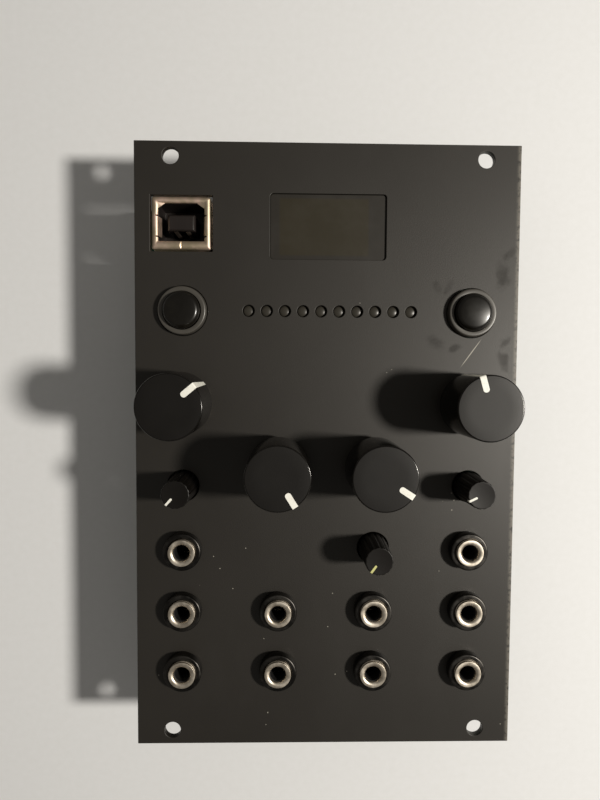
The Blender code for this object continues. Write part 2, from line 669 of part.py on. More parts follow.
def jack_socket(name, x, y):
    """Plastic housing on the board with the threaded bushing that stands through the panel."""
    housing = bmesh.new()
    add_prism(housing, rectangle(JACK_BODY_WIDTH, JACK_BODY_HEIGHT), BODY_BOTTOM, BODY_TOP)
    body = piece(name, housing, "black_plastic", on_panel(x, y))
    bevel(body, JACK_BODY_BEVEL)
    collar = bmesh.new()
    top = JACK_BUSHING_STANDOUT
    chamfer = JACK_MOUTH_CHAMFER
    radius = JACK_BUSHING_RADIUS
    add_turned(collar, [
        (0, BODY_TOP - CUT_OVERRUN), (radius, BODY_TOP - CUT_OVERRUN),
        (radius, top - chamfer), (radius - chamfer, top), (0, top),
    ], SMALL_STEPS)
    combine(body, tool(name + "_collar", collar, "bright_metal", on_panel(x, y)), "UNION")
    bore = bmesh.new()
    over = top + CUT_OVERRUN
    add_turned(bore, [
        (0, BODY_BOTTOM + JACK_FLOOR), (JACK_BORE_RADIUS, BODY_BOTTOM + JACK_FLOOR),
        (JACK_BORE_RADIUS, top - chamfer), (JACK_BORE_RADIUS + chamfer + CUT_OVERRUN, over),
        (0, over),
    ], SMALL_STEPS)
    combine(body, tool(name + "_bore", bore, "bright_metal", on_panel(x, y)), "DIFFERENCE")
    slot = bmesh.new()
    outer = -JACK_BODY_HEIGHT / 2 - CUT_OVERRUN
    inner = -JACK_BORE_RADIUS / 2
    outline = rectangle(JACK_SPRING_SLOT_WIDTH, inner - outer, (0, (outer + inner) / 2))
    slot_low = BODY_BOTTOM + JACK_FLOOR + chamfer
    add_prism(slot, outline, slot_low, slot_low + JACK_SPRING_SLOT_HEIGHT)
    combine(body, tool(name + "_slot", slot, "black_plastic", on_panel(x, y)), "DIFFERENCE")


def jack_nut(name, x, y):
    """Round nut screwed down on the panel."""
    ring = bmesh.new()
    low = SEAT_GAP
    high = SEAT_GAP + JACK_NUT_HEIGHT
    chamfer = JACK_NUT_CHAMFER
    inner = JACK_BUSHING_RADIUS + THREAD_GAP
    add_turned(ring, [
        (inner, low), (JACK_NUT_RADIUS, low), (JACK_NUT_RADIUS, high - chamfer),
        (JACK_NUT_RADIUS - chamfer, high), (inner, high),
    ], SMALL_STEPS, ring=True)
    piece(name, ring, "black_nickel", on_panel(x, y))


def pot_body(name, x, y):
    """Pot case on the board, its bushing through the panel and the nut that clamps the panel."""
    case = bmesh.new()
    add_prism(case, rectangle(POT_BODY_WIDTH, POT_BODY_HEIGHT), BODY_BOTTOM, BODY_TOP)
    body = piece(name, case, "bright_metal", on_panel(x, y))
    bevel(body, POT_BODY_BEVEL)
    bushing = bmesh.new()
    outline = circle(POT_BUSHING_RADIUS, ROUND_STEPS)
    add_prism(bushing, outline, BODY_TOP - CUT_OVERRUN, POT_BUSHING_STANDOUT)
    combine(body, tool(name + "_bushing", bushing, "bright_metal", on_panel(x, y)), "UNION")
    nut = bmesh.new()
    outline = circle(POT_NUT_FLATS / 2 / cos(pi / 6), 6)
    add_prism(nut, outline, SEAT_GAP, SEAT_GAP + POT_NUT_HEIGHT)
    combine(body, tool(name + "_nut", nut, "bright_metal", on_panel(x, y)), "UNION")
    bore = bmesh.new()
    outline = circle(POT_SHAFT_RADIUS + SHAFT_GAP, ROUND_STEPS)
    bore_floor = -POT_SHAFT_DEPTH - SEAT_GAP
    add_prism(bore, outline, bore_floor, POT_BUSHING_STANDOUT + CUT_OVERRUN)
    combine(body, tool(name + "_bore", bore, "bright_metal", on_panel(x, y)), "DIFFERENCE")


def pot_shaft(name, x, y, turn):
    """Steel shaft that turns in the bushing, with the flat that drives the knob."""
    end = KNOB_HEIGHT - POT_SHAFT_END
    rod = bmesh.new()
    add_prism(rod, circle(POT_SHAFT_RADIUS, ROUND_STEPS), -POT_SHAFT_DEPTH, end)
    shaft = piece(name, rod, "bright_metal", on_panel(x, y), turn)
    flat = bmesh.new()
    reach = POT_SHAFT_RADIUS + CUT_OVERRUN
    depth = reach - POT_FLAT_FROM_AXIS
    outline = rectangle(reach * 2, depth, (0, POT_FLAT_FROM_AXIS + depth / 2))
    add_prism(flat, outline, end - POT_FLAT_LENGTH, end + CUT_OVERRUN)
    combine(shaft, tool(name + "_flat", flat, "bright_metal", on_panel(x, y), turn), "DIFFERENCE")


def knob_side(height):
    """Radius of the tapering side of a large knob at a height over the panel."""
    base = knob_base()
    share = (height - base) / (KNOB_HEIGHT - base)
    return KNOB_BASE_RADIUS + (KNOB_TOP_RADIUS - KNOB_BASE_RADIUS) * share


def knob_base():
    return SEAT_GAP + POT_NUT_HEIGHT + KNOB_LIFT


def edge_arc(radius, top, edge):
    """Profile points of a rounded top edge, from the flat top to the side."""
    arc = []
    for step in range(CORNER_STEPS + 1):
        turn = step / CORNER_STEPS * pi / 2
        arc.append((radius - edge + edge * sin(turn), top - edge + edge * cos(turn)))
    return arc


def knob(name, x, y, turn):
    """Large knob: tapering skirt, rounded top edge, hub with a D bore and a filled pointer groove."""
    base = knob_base()
    ceiling = KNOB_HEIGHT - KNOB_CEILING
    body = bmesh.new()
    profile = [(0, KNOB_HEIGHT)]
    profile += edge_arc(KNOB_TOP_RADIUS, KNOB_HEIGHT, KNOB_EDGE_RADIUS)
    profile += [
        (KNOB_BASE_RADIUS, base), (KNOB_BASE_RADIUS - KNOB_WALL, base),
        (KNOB_TOP_RADIUS - KNOB_WALL, ceiling), (KNOB_HUB_RADIUS, ceiling),
        (KNOB_HUB_RADIUS, base + KNOB_LIFT), (0, base + KNOB_LIFT),
    ]
    add_turned(body, profile, FINE_STEPS)
    shape = piece(name, body, "knob_black", on_panel(x, y), turn)
    bore = bmesh.new()
    outline = d_outline(POT_SHAFT_RADIUS + SHAFT_GAP, POT_FLAT_FROM_AXIS + SHAFT_GAP, ROUND_STEPS)
    bore_end = KNOB_HEIGHT - POT_SHAFT_END + SEAT_GAP
    d_start = KNOB_HEIGHT - POT_SHAFT_END - POT_FLAT_LENGTH
    add_prism(bore, outline, d_start + SEAT_GAP, bore_end)
    combine(shape, tool(name + "_bore", bore, "knob_black", on_panel(x, y), turn), "DIFFERENCE")
    mouth = bmesh.new()
    outline = circle(POT_BUSHING_RADIUS + SIDE_GAP, ROUND_STEPS)
    add_prism(mouth, outline, base - CUT_OVERRUN, d_start + SEAT_GAP + SHAFT_GAP)
    combine(shape, tool(name + "_mouth", mouth, "knob_black", on_panel(x, y), turn), "DIFFERENCE")
    groove = bmesh.new()
    depth = KNOB_POINTER_DEPTH
    over = KNOB_BASE_RADIUS + CUT_OVERRUN
    edge = KNOB_EDGE_RADIUS
    add_slab(groove, [
        (KNOB_POINTER_START, KNOB_HEIGHT + CUT_OVERRUN),
        (KNOB_POINTER_START, KNOB_HEIGHT - depth),
        (KNOB_TOP_RADIUS - edge, KNOB_HEIGHT - depth),
        (knob_side(KNOB_HEIGHT - edge) - depth, KNOB_HEIGHT - edge),
        (KNOB_BASE_RADIUS - depth, base - CUT_OVERRUN),
        (over, base - CUT_OVERRUN),
        (over, KNOB_HEIGHT + CUT_OVERRUN),
    ], KNOB_POINTER_WIDTH)
    combine(shape, tool(name + "_groove", groove, "white_paint", on_panel(x, y), turn), "DIFFERENCE")


def trimmer_body(name, x, y):
    """Small pot case on the board, bored for the knob's pivot."""
    case = bmesh.new()
    top = BODY_BOTTOM + TRIMMER_BODY_TALL
    add_prism(case, rectangle(TRIMMER_BODY_SIZE, TRIMMER_BODY_SIZE), BODY_BOTTOM, top)
    body = piece(name, case, "black_plastic", on_panel(x, y))
    bevel(body, TRIMMER_BODY_BEVEL)
    bore = bmesh.new()
    outline = circle(TRIMMER_PIVOT_RADIUS + SHAFT_GAP, SMALL_STEPS)
    add_prism(bore, outline, top - TRIMMER_PIVOT_DEPTH - SEAT_GAP, top + CUT_OVERRUN)
    combine(body, tool(name + "_bore", bore, "black_plastic", on_panel(x, y)), "DIFFERENCE")


def trimmer_knob(name, x, y, turn):
    """Slender fluted knob in one piece with its pivot, and a filled line across its top."""
    body_top = BODY_BOTTOM + TRIMMER_BODY_TALL
    base = body_top + SEAT_GAP
    top = TRIMMER_HEIGHT
    chamfer = TRIMMER_CHAMFER
    stem = bmesh.new()
    levels = (
        (base, TRIMMER_BASE_RADIUS),
        (top - chamfer, TRIMMER_TOP_RADIUS),
        (top, TRIMMER_TOP_RADIUS - chamfer),
    )
    rings = []
    for level, radius in levels:
        outline = fluted_outline(radius, TRIMMER_FLUTES)
        rings.append([stem.verts.new((px, py, level)) for px, py in outline])
    for ring, after in zip(rings, rings[1:]):
        for index in range(len(ring)):
            follow = (index + 1) % len(ring)
            stem.faces.new((ring[index], ring[follow], after[follow], after[index]))
    stem.faces.new(list(reversed(rings[0])))
    stem.faces.new(rings[-1])
    shape = piece(name, stem, "knob_black", on_panel(x, y), turn)
    pivot = bmesh.new()
    outline = circle(TRIMMER_PIVOT_RADIUS, SMALL_STEPS)
    add_prism(pivot, outline, body_top - TRIMMER_PIVOT_DEPTH, base + CUT_OVERRUN)
    combine(shape, tool(name + "_pivot", pivot, "knob_black", on_panel(x, y), turn), "UNION")
    line = bmesh.new()
    reach = TRIMMER_TOP_RADIUS + CUT_OVERRUN
    length = reach - TRIMMER_LINE_START
    outline = rectangle(TRIMMER_LINE_WIDTH, length, (0, TRIMMER_LINE_START + length / 2))
    add_prism(line, outline, top - TRIMMER_LINE_DEPTH, top + CUT_OVERRUN)
    combine(shape, tool(name + "_line", line, "white_paint", on_panel(x, y), turn), "DIFFERENCE")


def button_levels():
    """Heights over the panel's front of a button's flange, its switch's top and its foot's ends."""
    ring_bottom = BUTTON_RING_TOP - BUTTON_RING_DEPTH
    flange_top = ring_bottom - SEAT_GAP
    switch_top = BODY_BOTTOM + SWITCH_HEIGHT
    foot_top = switch_top - SEAT_GAP
    foot_bottom = foot_top - BUTTON_FOOT_THICKNESS
    return ring_bottom, flange_top, switch_top, foot_top, foot_bottom


def button_ring(name, x):
    """Satin collar round the cap, which travels with it."""
    ring_bottom = button_levels()[0]
    inner = BUTTON_CAP_RADIUS + THREAD_GAP
    chamfer = BUTTON_RING_CHAMFER
    ring = bmesh.new()
    add_turned(ring, [
        (inner, ring_bottom), (BUTTON_RING_RADIUS, ring_bottom),
        (BUTTON_RING_RADIUS, BUTTON_RING_TOP - chamfer),
        (BUTTON_RING_RADIUS - chamfer, BUTTON_RING_TOP), (inner, BUTTON_RING_TOP),
    ], FINE_STEPS, ring=True)
    piece(name, ring, "ring_grey", on_panel(x, BUTTON_Y))


def button_cap(name, x):
    """Domed cap with its flange, its stem and the foot that sits in the switch."""
    _, flange_top, _, foot_top, foot_bottom = button_levels()
    flange_bottom = flange_top - BUTTON_FLANGE_THICKNESS
    profile = []
    for step in range(4):
        turn = step * pi / 6
        radius = BUTTON_CAP_RADIUS * sin(turn)
        profile.append((radius, BUTTON_CAP_SHOULDER + BUTTON_CAP_RISE * cos(turn)))
    profile += [
        (BUTTON_CAP_RADIUS, flange_top), (BUTTON_FLANGE_RADIUS, flange_top),
        (BUTTON_FLANGE_RADIUS, flange_bottom), (BUTTON_STEM_RADIUS, flange_bottom),
        (BUTTON_STEM_RADIUS, foot_top), (BUTTON_FOOT_RADIUS, foot_top),
        (BUTTON_FOOT_RADIUS, foot_bottom), (0, foot_bottom),
    ]
    cap = bmesh.new()
    add_turned(cap, profile, ROUND_STEPS)
    piece(name, cap, "gloss_black", on_panel(x, BUTTON_Y))


def button_switch(name, x):
    """Square switch on the board, with the round well that its plunger works in."""
    _, _, switch_top, _, foot_bottom = button_levels()
    case = bmesh.new()
    add_prism(case, rectangle(SWITCH_SIZE, SWITCH_SIZE), BODY_BOTTOM, switch_top)
    body = piece(name, case, "black_plastic", on_panel(x, BUTTON_Y))
    bevel(body, SWITCH_BEVEL)
    well = bmesh.new()
    outline = circle(BUTTON_FOOT_RADIUS + SIDE_GAP, ROUND_STEPS)
    well_floor = foot_bottom - BUTTON_TRAVEL - SEAT_GAP
    add_prism(well, outline, well_floor, switch_top + CUT_OVERRUN)
    combine(body, tool(name + "_well", well, "black_plastic", on_panel(x, BUTTON_Y)), "DIFFERENCE")


def power_header():
    """Keyed shroud for the ribbon cable, its mouth on the table side, with two rows of pins."""
    top = BACK_DEPTH
    block = bmesh.new()
    add_prism(block, rectangle(HEADER_WIDTH, HEADER_DEPTH), 0, top)
    shroud = piece("power_header", block, "black_plastic", (0, HEADER_Y, 0))
    hollow = bmesh.new()
    inside = (HEADER_WIDTH - HEADER_WALL * 2, HEADER_DEPTH - HEADER_WALL * 2)
    add_prism(hollow, rectangle(*inside), -CUT_OVERRUN, top - HEADER_FLOOR)
    combine(shroud, tool("header_hollow", hollow, "black_plastic", (0, HEADER_Y, 0)), "DIFFERENCE")
    key = bmesh.new()
    middle = (0, -HEADER_DEPTH / 2)
    outline = rectangle(HEADER_KEY_WIDTH, HEADER_WALL * 3, middle)
    add_prism(key, outline, -CUT_OVERRUN, top - HEADER_FLOOR)
    combine(shroud, tool("header_key", key, "black_plastic", (0, HEADER_Y, 0)), "DIFFERENCE")
    pins = bmesh.new()
    for column in range(HEADER_PIN_COLUMNS):
        for row in range(HEADER_PIN_ROWS):
            centre = (
                (column - (HEADER_PIN_COLUMNS - 1) / 2) * HEADER_PIN_PITCH,
                (row - (HEADER_PIN_ROWS - 1) / 2) * HEADER_PIN_PITCH,
            )
            outline = rectangle(HEADER_PIN_SIZE, HEADER_PIN_SIZE, centre)
            add_prism(pins, outline, HEADER_PIN_RECESS, top - HEADER_FLOOR / 2)
    combine(shroud, tool("header_pins", pins, "bright_metal", (0, HEADER_Y, 0)), "UNION")


def capacitor(name, x):
    """Standing electrolytic: square base, waisted can, flat end on the table."""
    can = bmesh.new()
    edge = CAPACITOR_EDGE
    waist = CAPACITOR_RADIUS - CAPACITOR_GROOVE
    base_bottom = BACK_DEPTH - CAPACITOR_BASE_THICKNESS
    groove = base_bottom - CAPACITOR_BASE_THICKNESS
    add_turned(can, [
        (0, 0), (CAPACITOR_RADIUS - edge, 0), (CAPACITOR_RADIUS, edge),
        (CAPACITOR_RADIUS, groove - edge), (waist, groove),
        (CAPACITOR_RADIUS, groove + edge), (CAPACITOR_RADIUS, BACK_DEPTH - edge),
        (0, BACK_DEPTH - edge),
    ], ROUND_STEPS)
    body = piece(name, can, "bright_metal", (x, CAPACITOR_Y, 0))
    foot = bmesh.new()
    size = CAPACITOR_BASE_SIZE
    outline = keyed_rectangle(size, size, edge, CAPACITOR_BASE_THICKNESS)
    add_prism(foot, outline, base_bottom, BACK_DEPTH)
    combine(body, tool(name + "_foot", foot, "black_plastic", (x, CAPACITOR_Y, 0)), "UNION")


def chip(name, width, length, side_legs, end_legs, place):
    """Flat chip under the board: moulded body and a comb of legs."""
    top = BOARD_BACK_Z - SEAT_GAP
    body = bmesh.new()
    bottom = top - CHIP_THICKNESS
    add_prism(body, rectangle(width, length), bottom, top)
    shape = piece(name, body, "black_plastic", (*place, 0))
    bevel(shape, CHIP_BEVEL)
    legs = bmesh.new()
    middle = (bottom + top) / 2
    inner_width = width - LEG_REACH
    inner_length = length - LEG_REACH
    outline = comb_outline(inner_width, inner_length, side_legs, end_legs)
    add_prism(legs, outline, middle, middle + LEG_THICKNESS)
    combine(shape, tool(name + "_legs", legs, "bright_metal", (*place, 0)), "UNION")


def regulator():
    """Power regulator with its tab soldered flat on the board."""
    top = BOARD_BACK_Z - SEAT_GAP
    half = REGULATOR_LENGTH / 2
    tab_end = half + REGULATOR_TAB_LENGTH
    body = bmesh.new()
    add_slab(body, [
        (-half, top), (-half, top - REGULATOR_THICKNESS), (half, top - REGULATOR_THICKNESS),
        (half, top - REGULATOR_TAB_THICKNESS), (tab_end, top - REGULATOR_TAB_THICKNESS),
        (tab_end, top),
    ], REGULATOR_WIDTH)
    piece("regulator", body, "black_plastic", (REGULATOR_X, REGULATOR_Y, 0))


def crystal():
    """Crystal in its round-ended can."""
    top = BOARD_BACK_Z - SEAT_GAP
    can = bmesh.new()
    outline = rounded_rectangle(
        CRYSTAL_WIDTH, CRYSTAL_LENGTH, CRYSTAL_WIDTH / 2 - CRYSTAL_EDGE)
    add_prism(can, outline, top - CRYSTAL_THICKNESS, top)
    body = piece("crystal", can, "bright_metal", (CRYSTAL_X, CRYSTAL_Y, 0))
    bevel(body, CRYSTAL_EDGE)


def build():
    clear_scene()
    front_panel()
    control_board()
    display()
    indicator_strip()
    usb_shell()
    usb_insert()
    for number, (x, y) in enumerate(jack_places(), 1):
        jack_socket(f"jack_socket_{number}", x, y)
        jack_nut(f"jack_nut_{number}", x, y)
    for side, (x, y, clockwise) in KNOBS.items():
        pot_body(f"pot_body_{side}", x, y)
        pot_shaft(f"pot_shaft_{side}", x, y, -clockwise)
        knob(f"knob_{side}", x, y, -clockwise)
    for side, (x, y, clockwise) in TRIMMERS.items():
        trimmer_body(f"trimmer_body_{side}", x, y)
        trimmer_knob(f"trimmer_knob_{side}", x, y, -clockwise)
    for side, x in BUTTONS.items():
        button_switch(f"button_switch_{side}", x)
        button_cap(f"button_cap_{side}", x)
        button_ring(f"button_ring_{side}", x)
    power_header()
    capacitor("capacitor_left", -CAPACITOR_X)
    capacitor("capacitor_right", CAPACITOR_X)
    chip("processor", PROCESSOR_SIZE, PROCESSOR_SIZE, PROCESSOR_LEGS, PROCESSOR_LEGS, PROCESSOR_PLACE)
    chip("audio_chip", AUDIO_CHIP_WIDTH, AUDIO_CHIP_LENGTH, AUDIO_CHIP_LEGS, 0, AUDIO_CHIP_PLACE)
    regulator()
    crystal()


build()
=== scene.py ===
# %% [markdown]
# A eurorack module is a thin metal panel with knobs, sockets and buttons on its face and circuit boards
# behind it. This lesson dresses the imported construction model: the frame is loaded first, because every
# visible piece takes its place and size from it, and the frame itself is never moved.

# %% Load the frame
import json
from math import atan2, cos, pi, radians, sin

import bmesh
import bpy
from mathutils import Matrix, Vector


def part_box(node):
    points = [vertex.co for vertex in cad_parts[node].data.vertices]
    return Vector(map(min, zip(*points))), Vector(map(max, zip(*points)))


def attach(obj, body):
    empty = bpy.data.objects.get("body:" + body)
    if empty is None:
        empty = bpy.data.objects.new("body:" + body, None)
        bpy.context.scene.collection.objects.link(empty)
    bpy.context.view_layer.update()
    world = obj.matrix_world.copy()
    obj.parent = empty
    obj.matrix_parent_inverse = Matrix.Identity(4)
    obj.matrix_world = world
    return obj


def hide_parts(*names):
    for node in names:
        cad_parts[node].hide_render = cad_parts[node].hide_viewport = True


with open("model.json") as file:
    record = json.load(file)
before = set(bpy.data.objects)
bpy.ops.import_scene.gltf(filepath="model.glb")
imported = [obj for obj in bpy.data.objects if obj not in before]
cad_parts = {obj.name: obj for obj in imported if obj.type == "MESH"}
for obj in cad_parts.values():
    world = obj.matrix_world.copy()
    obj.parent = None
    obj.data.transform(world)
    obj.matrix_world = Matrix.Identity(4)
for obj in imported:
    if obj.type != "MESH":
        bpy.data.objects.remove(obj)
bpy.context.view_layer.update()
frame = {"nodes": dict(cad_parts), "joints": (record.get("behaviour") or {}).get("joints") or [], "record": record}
panel_low, panel_high = (Vector(corner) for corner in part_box("front_panel"))
FACE = panel_high.z
print("frame:", len(frame["nodes"]), "nodes, panel face at", round(FACE, 4))

# %% [markdown]
# The photograph was taken by a phone held close above the module, which makes the tall knobs lean outwards.
# The camera's place was found by fitting the panel's known corners and holes to the picture. It is written
# here as a place over the panel's centre, a small turn and a focal length in pixels of the picture.

# %% Camera
PICTURE_HEIGHT = 800
FOCAL_PIXELS = 601
SENSOR = 36
CAMERA_PLACE = Vector((-0.00850, 0.01714, FACE + 0.12735))
CAMERA_TURN = Vector((radians(-2.905), radians(-1.239), radians(0.336)))
CLIP_START = 0.01


def make_camera():
    lens = bpy.data.cameras.new("phone_view")
    lens.sensor_width = SENSOR
    lens.lens = SENSOR * FOCAL_PIXELS / PICTURE_HEIGHT
    lens.clip_start = CLIP_START
    camera = bpy.data.objects.new("phone_view", lens)
    turn = Matrix.Rotation(CAMERA_TURN.length, 4, CAMERA_TURN.normalized())
    camera.matrix_world = Matrix.Translation(CAMERA_PLACE) @ turn
    bpy.context.scene.collection.objects.link(camera)
    bpy.context.scene.camera = camera
    print("camera lens", round(lens.lens, 2), "mm at", tuple(round(c, 4) for c in CAMERA_PLACE))


make_camera()

# %% [markdown]
# Finishes are written as arithmetic. A Signal stands for one output of a tree of nodes, and adding,
# multiplying or comparing Signals makes the Math nodes that do it.

# %% Signals
class Signal:
    """A value that runs through a tree of nodes."""

    def __init__(self, paint, socket):
        self.paint = paint
        self.socket = socket

    def combine(self, operation, first, second):
        return self.paint.node("ShaderNodeMath", {"operation": operation}, {0: first, 1: second})

    def __add__(self, other):
        return self.combine("ADD", self, other)

    def __sub__(self, other):
        return self.combine("SUBTRACT", self, other)

    def __rsub__(self, other):
        return self.combine("SUBTRACT", other, self)

    def __mul__(self, other):
        return self.combine("MULTIPLY", self, other)

    def __gt__(self, other):
        return self.combine("GREATER_THAN", self, other)

    def __lt__(self, other):
        return self.combine("LESS_THAN", self, other)

    __radd__ = __add__
    __rmul__ = __mul__

# %% [markdown]
# A Paint holds one material, or the world, while it is mixed. Its node method makes every kind of node from
# its type, its settings and what feeds its sockets. The other methods are the few patterns that finishes
# share. They read Object coordinates, which stay with a piece when it moves.

# %% Paints
class Paint:
    """One material, or the world, while it is being mixed."""

    def __init__(self, name, kind="materials"):
        self.owner = getattr(bpy.data, kind).new(name)
        self.owner.use_nodes = True
        self.tree = self.owner.node_tree

    def feed(self, socket, value):
        if isinstance(value, Signal):
            self.tree.links.new(value.socket, socket)
        else:
            socket.default_value = value

    def node(self, kind, settings, inputs, output=0):
        node = self.tree.nodes.new(kind)
        for key, value in settings.items():
            setattr(node, key, value)
        for key, value in inputs.items():
            self.feed(node.inputs[key], value)
        return Signal(self, node.outputs[output])

    def place(self):
        return self.node("ShaderNodeTexCoord", {}, {}, "Object")

    def axis(self, letter):
        return self.node("ShaderNodeSeparateXYZ", {}, {0: self.place()}, letter)

    def noise(self, scale, detail=3.0, roughness=0.5, stretch=None):
        where = self.place()
        if stretch:
            where = self.node("ShaderNodeMapping", {}, {"Vector": where, "Scale": stretch})
        wanted = {"Vector": where, "Scale": scale, "Detail": detail, "Roughness": roughness}
        return self.node("ShaderNodeTexNoise", {}, wanted)

    def cells(self, scale, randomness=1.0, **settings):
        wanted = {"Vector": self.place(), "Scale": scale, "Randomness": randomness}
        return self.node("ShaderNodeTexVoronoi", settings, wanted)

    def ramp(self, value, low, high):
        """Zero below low, one above high and smooth between."""
        wanted = {"Value": value, "From Min": low, "From Max": high}
        return self.node("ShaderNodeMapRange", {"interpolation_type": "SMOOTHSTEP"}, wanted)

    def blend(self, amount, first, second):
        wanted = {0: amount, 6: first, 7: second}
        return self.node("ShaderNodeMix", {"data_type": "RGBA"}, wanted, 2)

    def stroke(self, start, end, width, ragged=0.0, inside=0.55):
        """One inside a long oval between two places seen from above, and zero outside it."""
        run = Vector(end) - Vector(start)
        centre = (Vector(end) + Vector(start)) / 2
        wanted = {
            "Vector": self.place(), "Location": (*centre, 0), "Rotation": (0, 0, atan2(run.y, run.x)),
            "Scale": (run.length / 2, width / 2, 1)}
        oval = self.node("ShaderNodeMapping", {"vector_type": "TEXTURE"}, wanted)
        away = self.node("ShaderNodeVectorMath", {"operation": "LENGTH"}, {0: oval}, "Value")
        if ragged:
            away = away + ragged * (self.noise(380, 5, 0.65) - 0.5)
        return 1 - self.ramp(away, inside, 1.0)

    def bump(self, height, distance, strength):
        """Strength is a plain number or a Signal; distance is in metres."""
        wanted = {"Height": height, "Distance": distance, "Strength": strength}
        return self.node("ShaderNodeBump", {}, wanted)

    def finish(self, **sockets):
        shader = self.tree.nodes["Principled BSDF"]
        for key, value in sockets.items():
            self.feed(shader.inputs[key.replace("_", " ")], value)
        return self.owner


def tone(red, green, blue):
    """A colour written as the eye reads it, from 0 to 255, turned into linear light."""
    shares = [channel / 255 for channel in (red, green, blue)]
    linear = [s / 12.92 if s < 0.04045 else ((s + 0.055) / 1.055) ** 2.4 for s in shares]
    return (*linear, 1)

# %% [markdown]
# A plain studio lights the module. A small lamp on the right throws the knobs' shadows to the left, as in the
# photograph, a broad and weak one opposite opens them, and the world fills the rest. An area lamp of power P
# at distance d lights a facing surface by P / (pi d)^2 of its colour, so each lamp is given as a share of
# full light and the shares add up to one. That way a colour renders about as it is written.

# %% Studio light
WORLD_SHARE = 0.13
BACKDROP = (0.80, 0.79, 0.77, 1)
LAMPS = {
    "key": (Vector((0.367, -0.004, 0.432)), 0.065, 0.84),
    "fill": (Vector((-0.35, 0.20, 0.50)), 0.40, 0.03),
}


def make_lamp(name, place, size, share):
    lamp = bpy.data.lights.new(name, "AREA")
    lamp.shape = "DISK"
    lamp.size = size
    toward = Vector((0, 0, FACE)) - place
    lean = toward.normalized().dot(Vector((0, 0, -1)))
    lamp.energy = share * (pi * toward.length) ** 2 / lean
    holder = bpy.data.objects.new(name, lamp)
    holder.matrix_world = Matrix.Translation(place) @ toward.to_track_quat("-Z", "Y").to_matrix().to_4x4()
    bpy.context.scene.collection.objects.link(holder)
    holder.visible_glossy = name == "key"
    print(name, "lamp", round(lamp.energy, 2), "W")


def make_world():
    """The camera and glass see the pale backdrop; surfaces are lit by an even grey."""
    sky = Paint("studio", "worlds")
    sky.tree.nodes.remove(sky.tree.nodes["Background"])
    camera_ray = sky.node("ShaderNodeLightPath", {}, {}, "Is Camera Ray")
    glass_ray = sky.node("ShaderNodeLightPath", {}, {}, "Is Transmission Ray")
    seen = sky.node("ShaderNodeMath", {"operation": "MAXIMUM"}, {0: camera_ray, 1: glass_ray})
    light = sky.node("ShaderNodeBackground", {}, {"Color": (1, 1, 1, 1), "Strength": WORLD_SHARE})
    backdrop = sky.node("ShaderNodeBackground", {}, {"Color": BACKDROP})
    mixed = sky.node("ShaderNodeMixShader", {}, {0: seen, 1: light, 2: backdrop})
    sky.feed(sky.tree.nodes["World Output"].inputs["Surface"], mixed)
    bpy.context.scene.world = sky.owner


for lamp_name, (place, size, share) in LAMPS.items():
    make_lamp(lamp_name, place, size, share)
make_world()
bpy.context.scene.view_settings.view_transform = "Standard"

# %% [markdown]
# The panel's coat is a matt black that has been handled. It has a fine grain, broad faint smudges where
# fingers have polished it, pale specks of dust, and a right edge where the coat has rubbed thin: these are
# noise cut off by thresholds. Its greasy marks and its one scratch are long ovals at places of their own,
# and noise makes the edges of the greasy ones ragged. The greasy marks are duller, and their colour is also
# darkened as painted shade for the sheen that they lose.

# %% Panel coat
COAT_DARK = tone(27, 23, 18)
COAT_LIGHT = tone(37, 33, 27)
COAT_RUBBED = tone(118, 111, 98)
DUST = tone(176, 168, 150)
GREASY_SHADE = tone(22, 18, 13)
EDGE_WEAR_WIDTH = 0.0011
GREASE_STROKES = (
    ((0.0222, 0.0368), (0.0245, 0.0324), 0.0026),
    ((0.0241, 0.0324), (0.0266, 0.0367), 0.0026),
    ((0.0370, 0.0426), (0.0370, 0.0330), 0.0038),
    ((0.0402, 0.0436), (0.0368, 0.0402), 0.0022),
    ((0.0198, 0.0256), (0.0256, 0.0207), 0.0036),
    ((0.0250, 0.0209), (0.0290, 0.0228), 0.0022),
    ((0.0392, 0.0248), (0.0362, 0.0214), 0.0026),
    ((0.0364, 0.0222), (0.0386, 0.0166), 0.0034),
)
SCRATCH = ((0.0331, 0.0243), (0.0281, 0.0174), 0.00024)
SHEEN_TINT = (1, 0.94, 0.84, 1)


def panel_coat():
    paint = Paint("panel_coat")
    broad = paint.noise(28, 4, 0.55)
    smudge = paint.ramp(paint.noise(75, 5, 0.6, (1, 0.45, 1)), 0.54, 0.66)
    right = paint.ramp(paint.axis("X"), 0, panel_high.x)
    upper = paint.ramp(paint.axis("Y"), -0.02, 0.04)
    handled = smudge * (0.2 + 0.8 * right * upper)
    colour = paint.blend(broad, COAT_DARK, COAT_LIGHT)
    rim = paint.ramp(paint.axis("X"), panel_high.x - EDGE_WEAR_WIDTH, panel_high.x)
    chips = rim * paint.ramp(paint.noise(900, 4, 0.7), 0.36, 0.52)
    colour = paint.blend(chips * 0.85, colour, COAT_RUBBED)
    specks = paint.cells(420) < 0.055
    lucky = paint.noise(70, 2) > 0.58
    colour = paint.blend(specks * lucky * 0.7, colour, DUST)
    colour = paint.blend(paint.stroke(*SCRATCH) * 0.8, colour, DUST)
    greasy = sum(paint.stroke(*place, ragged=1.7, inside=0.3) for place in GREASE_STROKES)
    greasy = greasy * (0.75 + 0.5 * paint.ramp(paint.noise(420, 4, 0.6), 0.35, 0.65))
    grain = paint.noise(5200, 3, 0.6)
    # painted shade: the greasy marks' colour is darkened for the sheen they lose; their dullness is real grease
    colour = paint.blend(greasy * 0.5, colour, GREASY_SHADE)
    rough = 0.43 + 0.10 * broad + 0.10 * handled + 0.15 * greasy
    normal = paint.bump(grain, 0.00003, 0.6)
    return paint.finish(Base_Color=colour, Roughness=rough, Normal=normal, Specular_IOR_Level=0.6,
                        Specular_Tint=SHEEN_TINT)


coat = panel_coat()
print("panel coat:", len(coat.node_tree.nodes), "nodes")

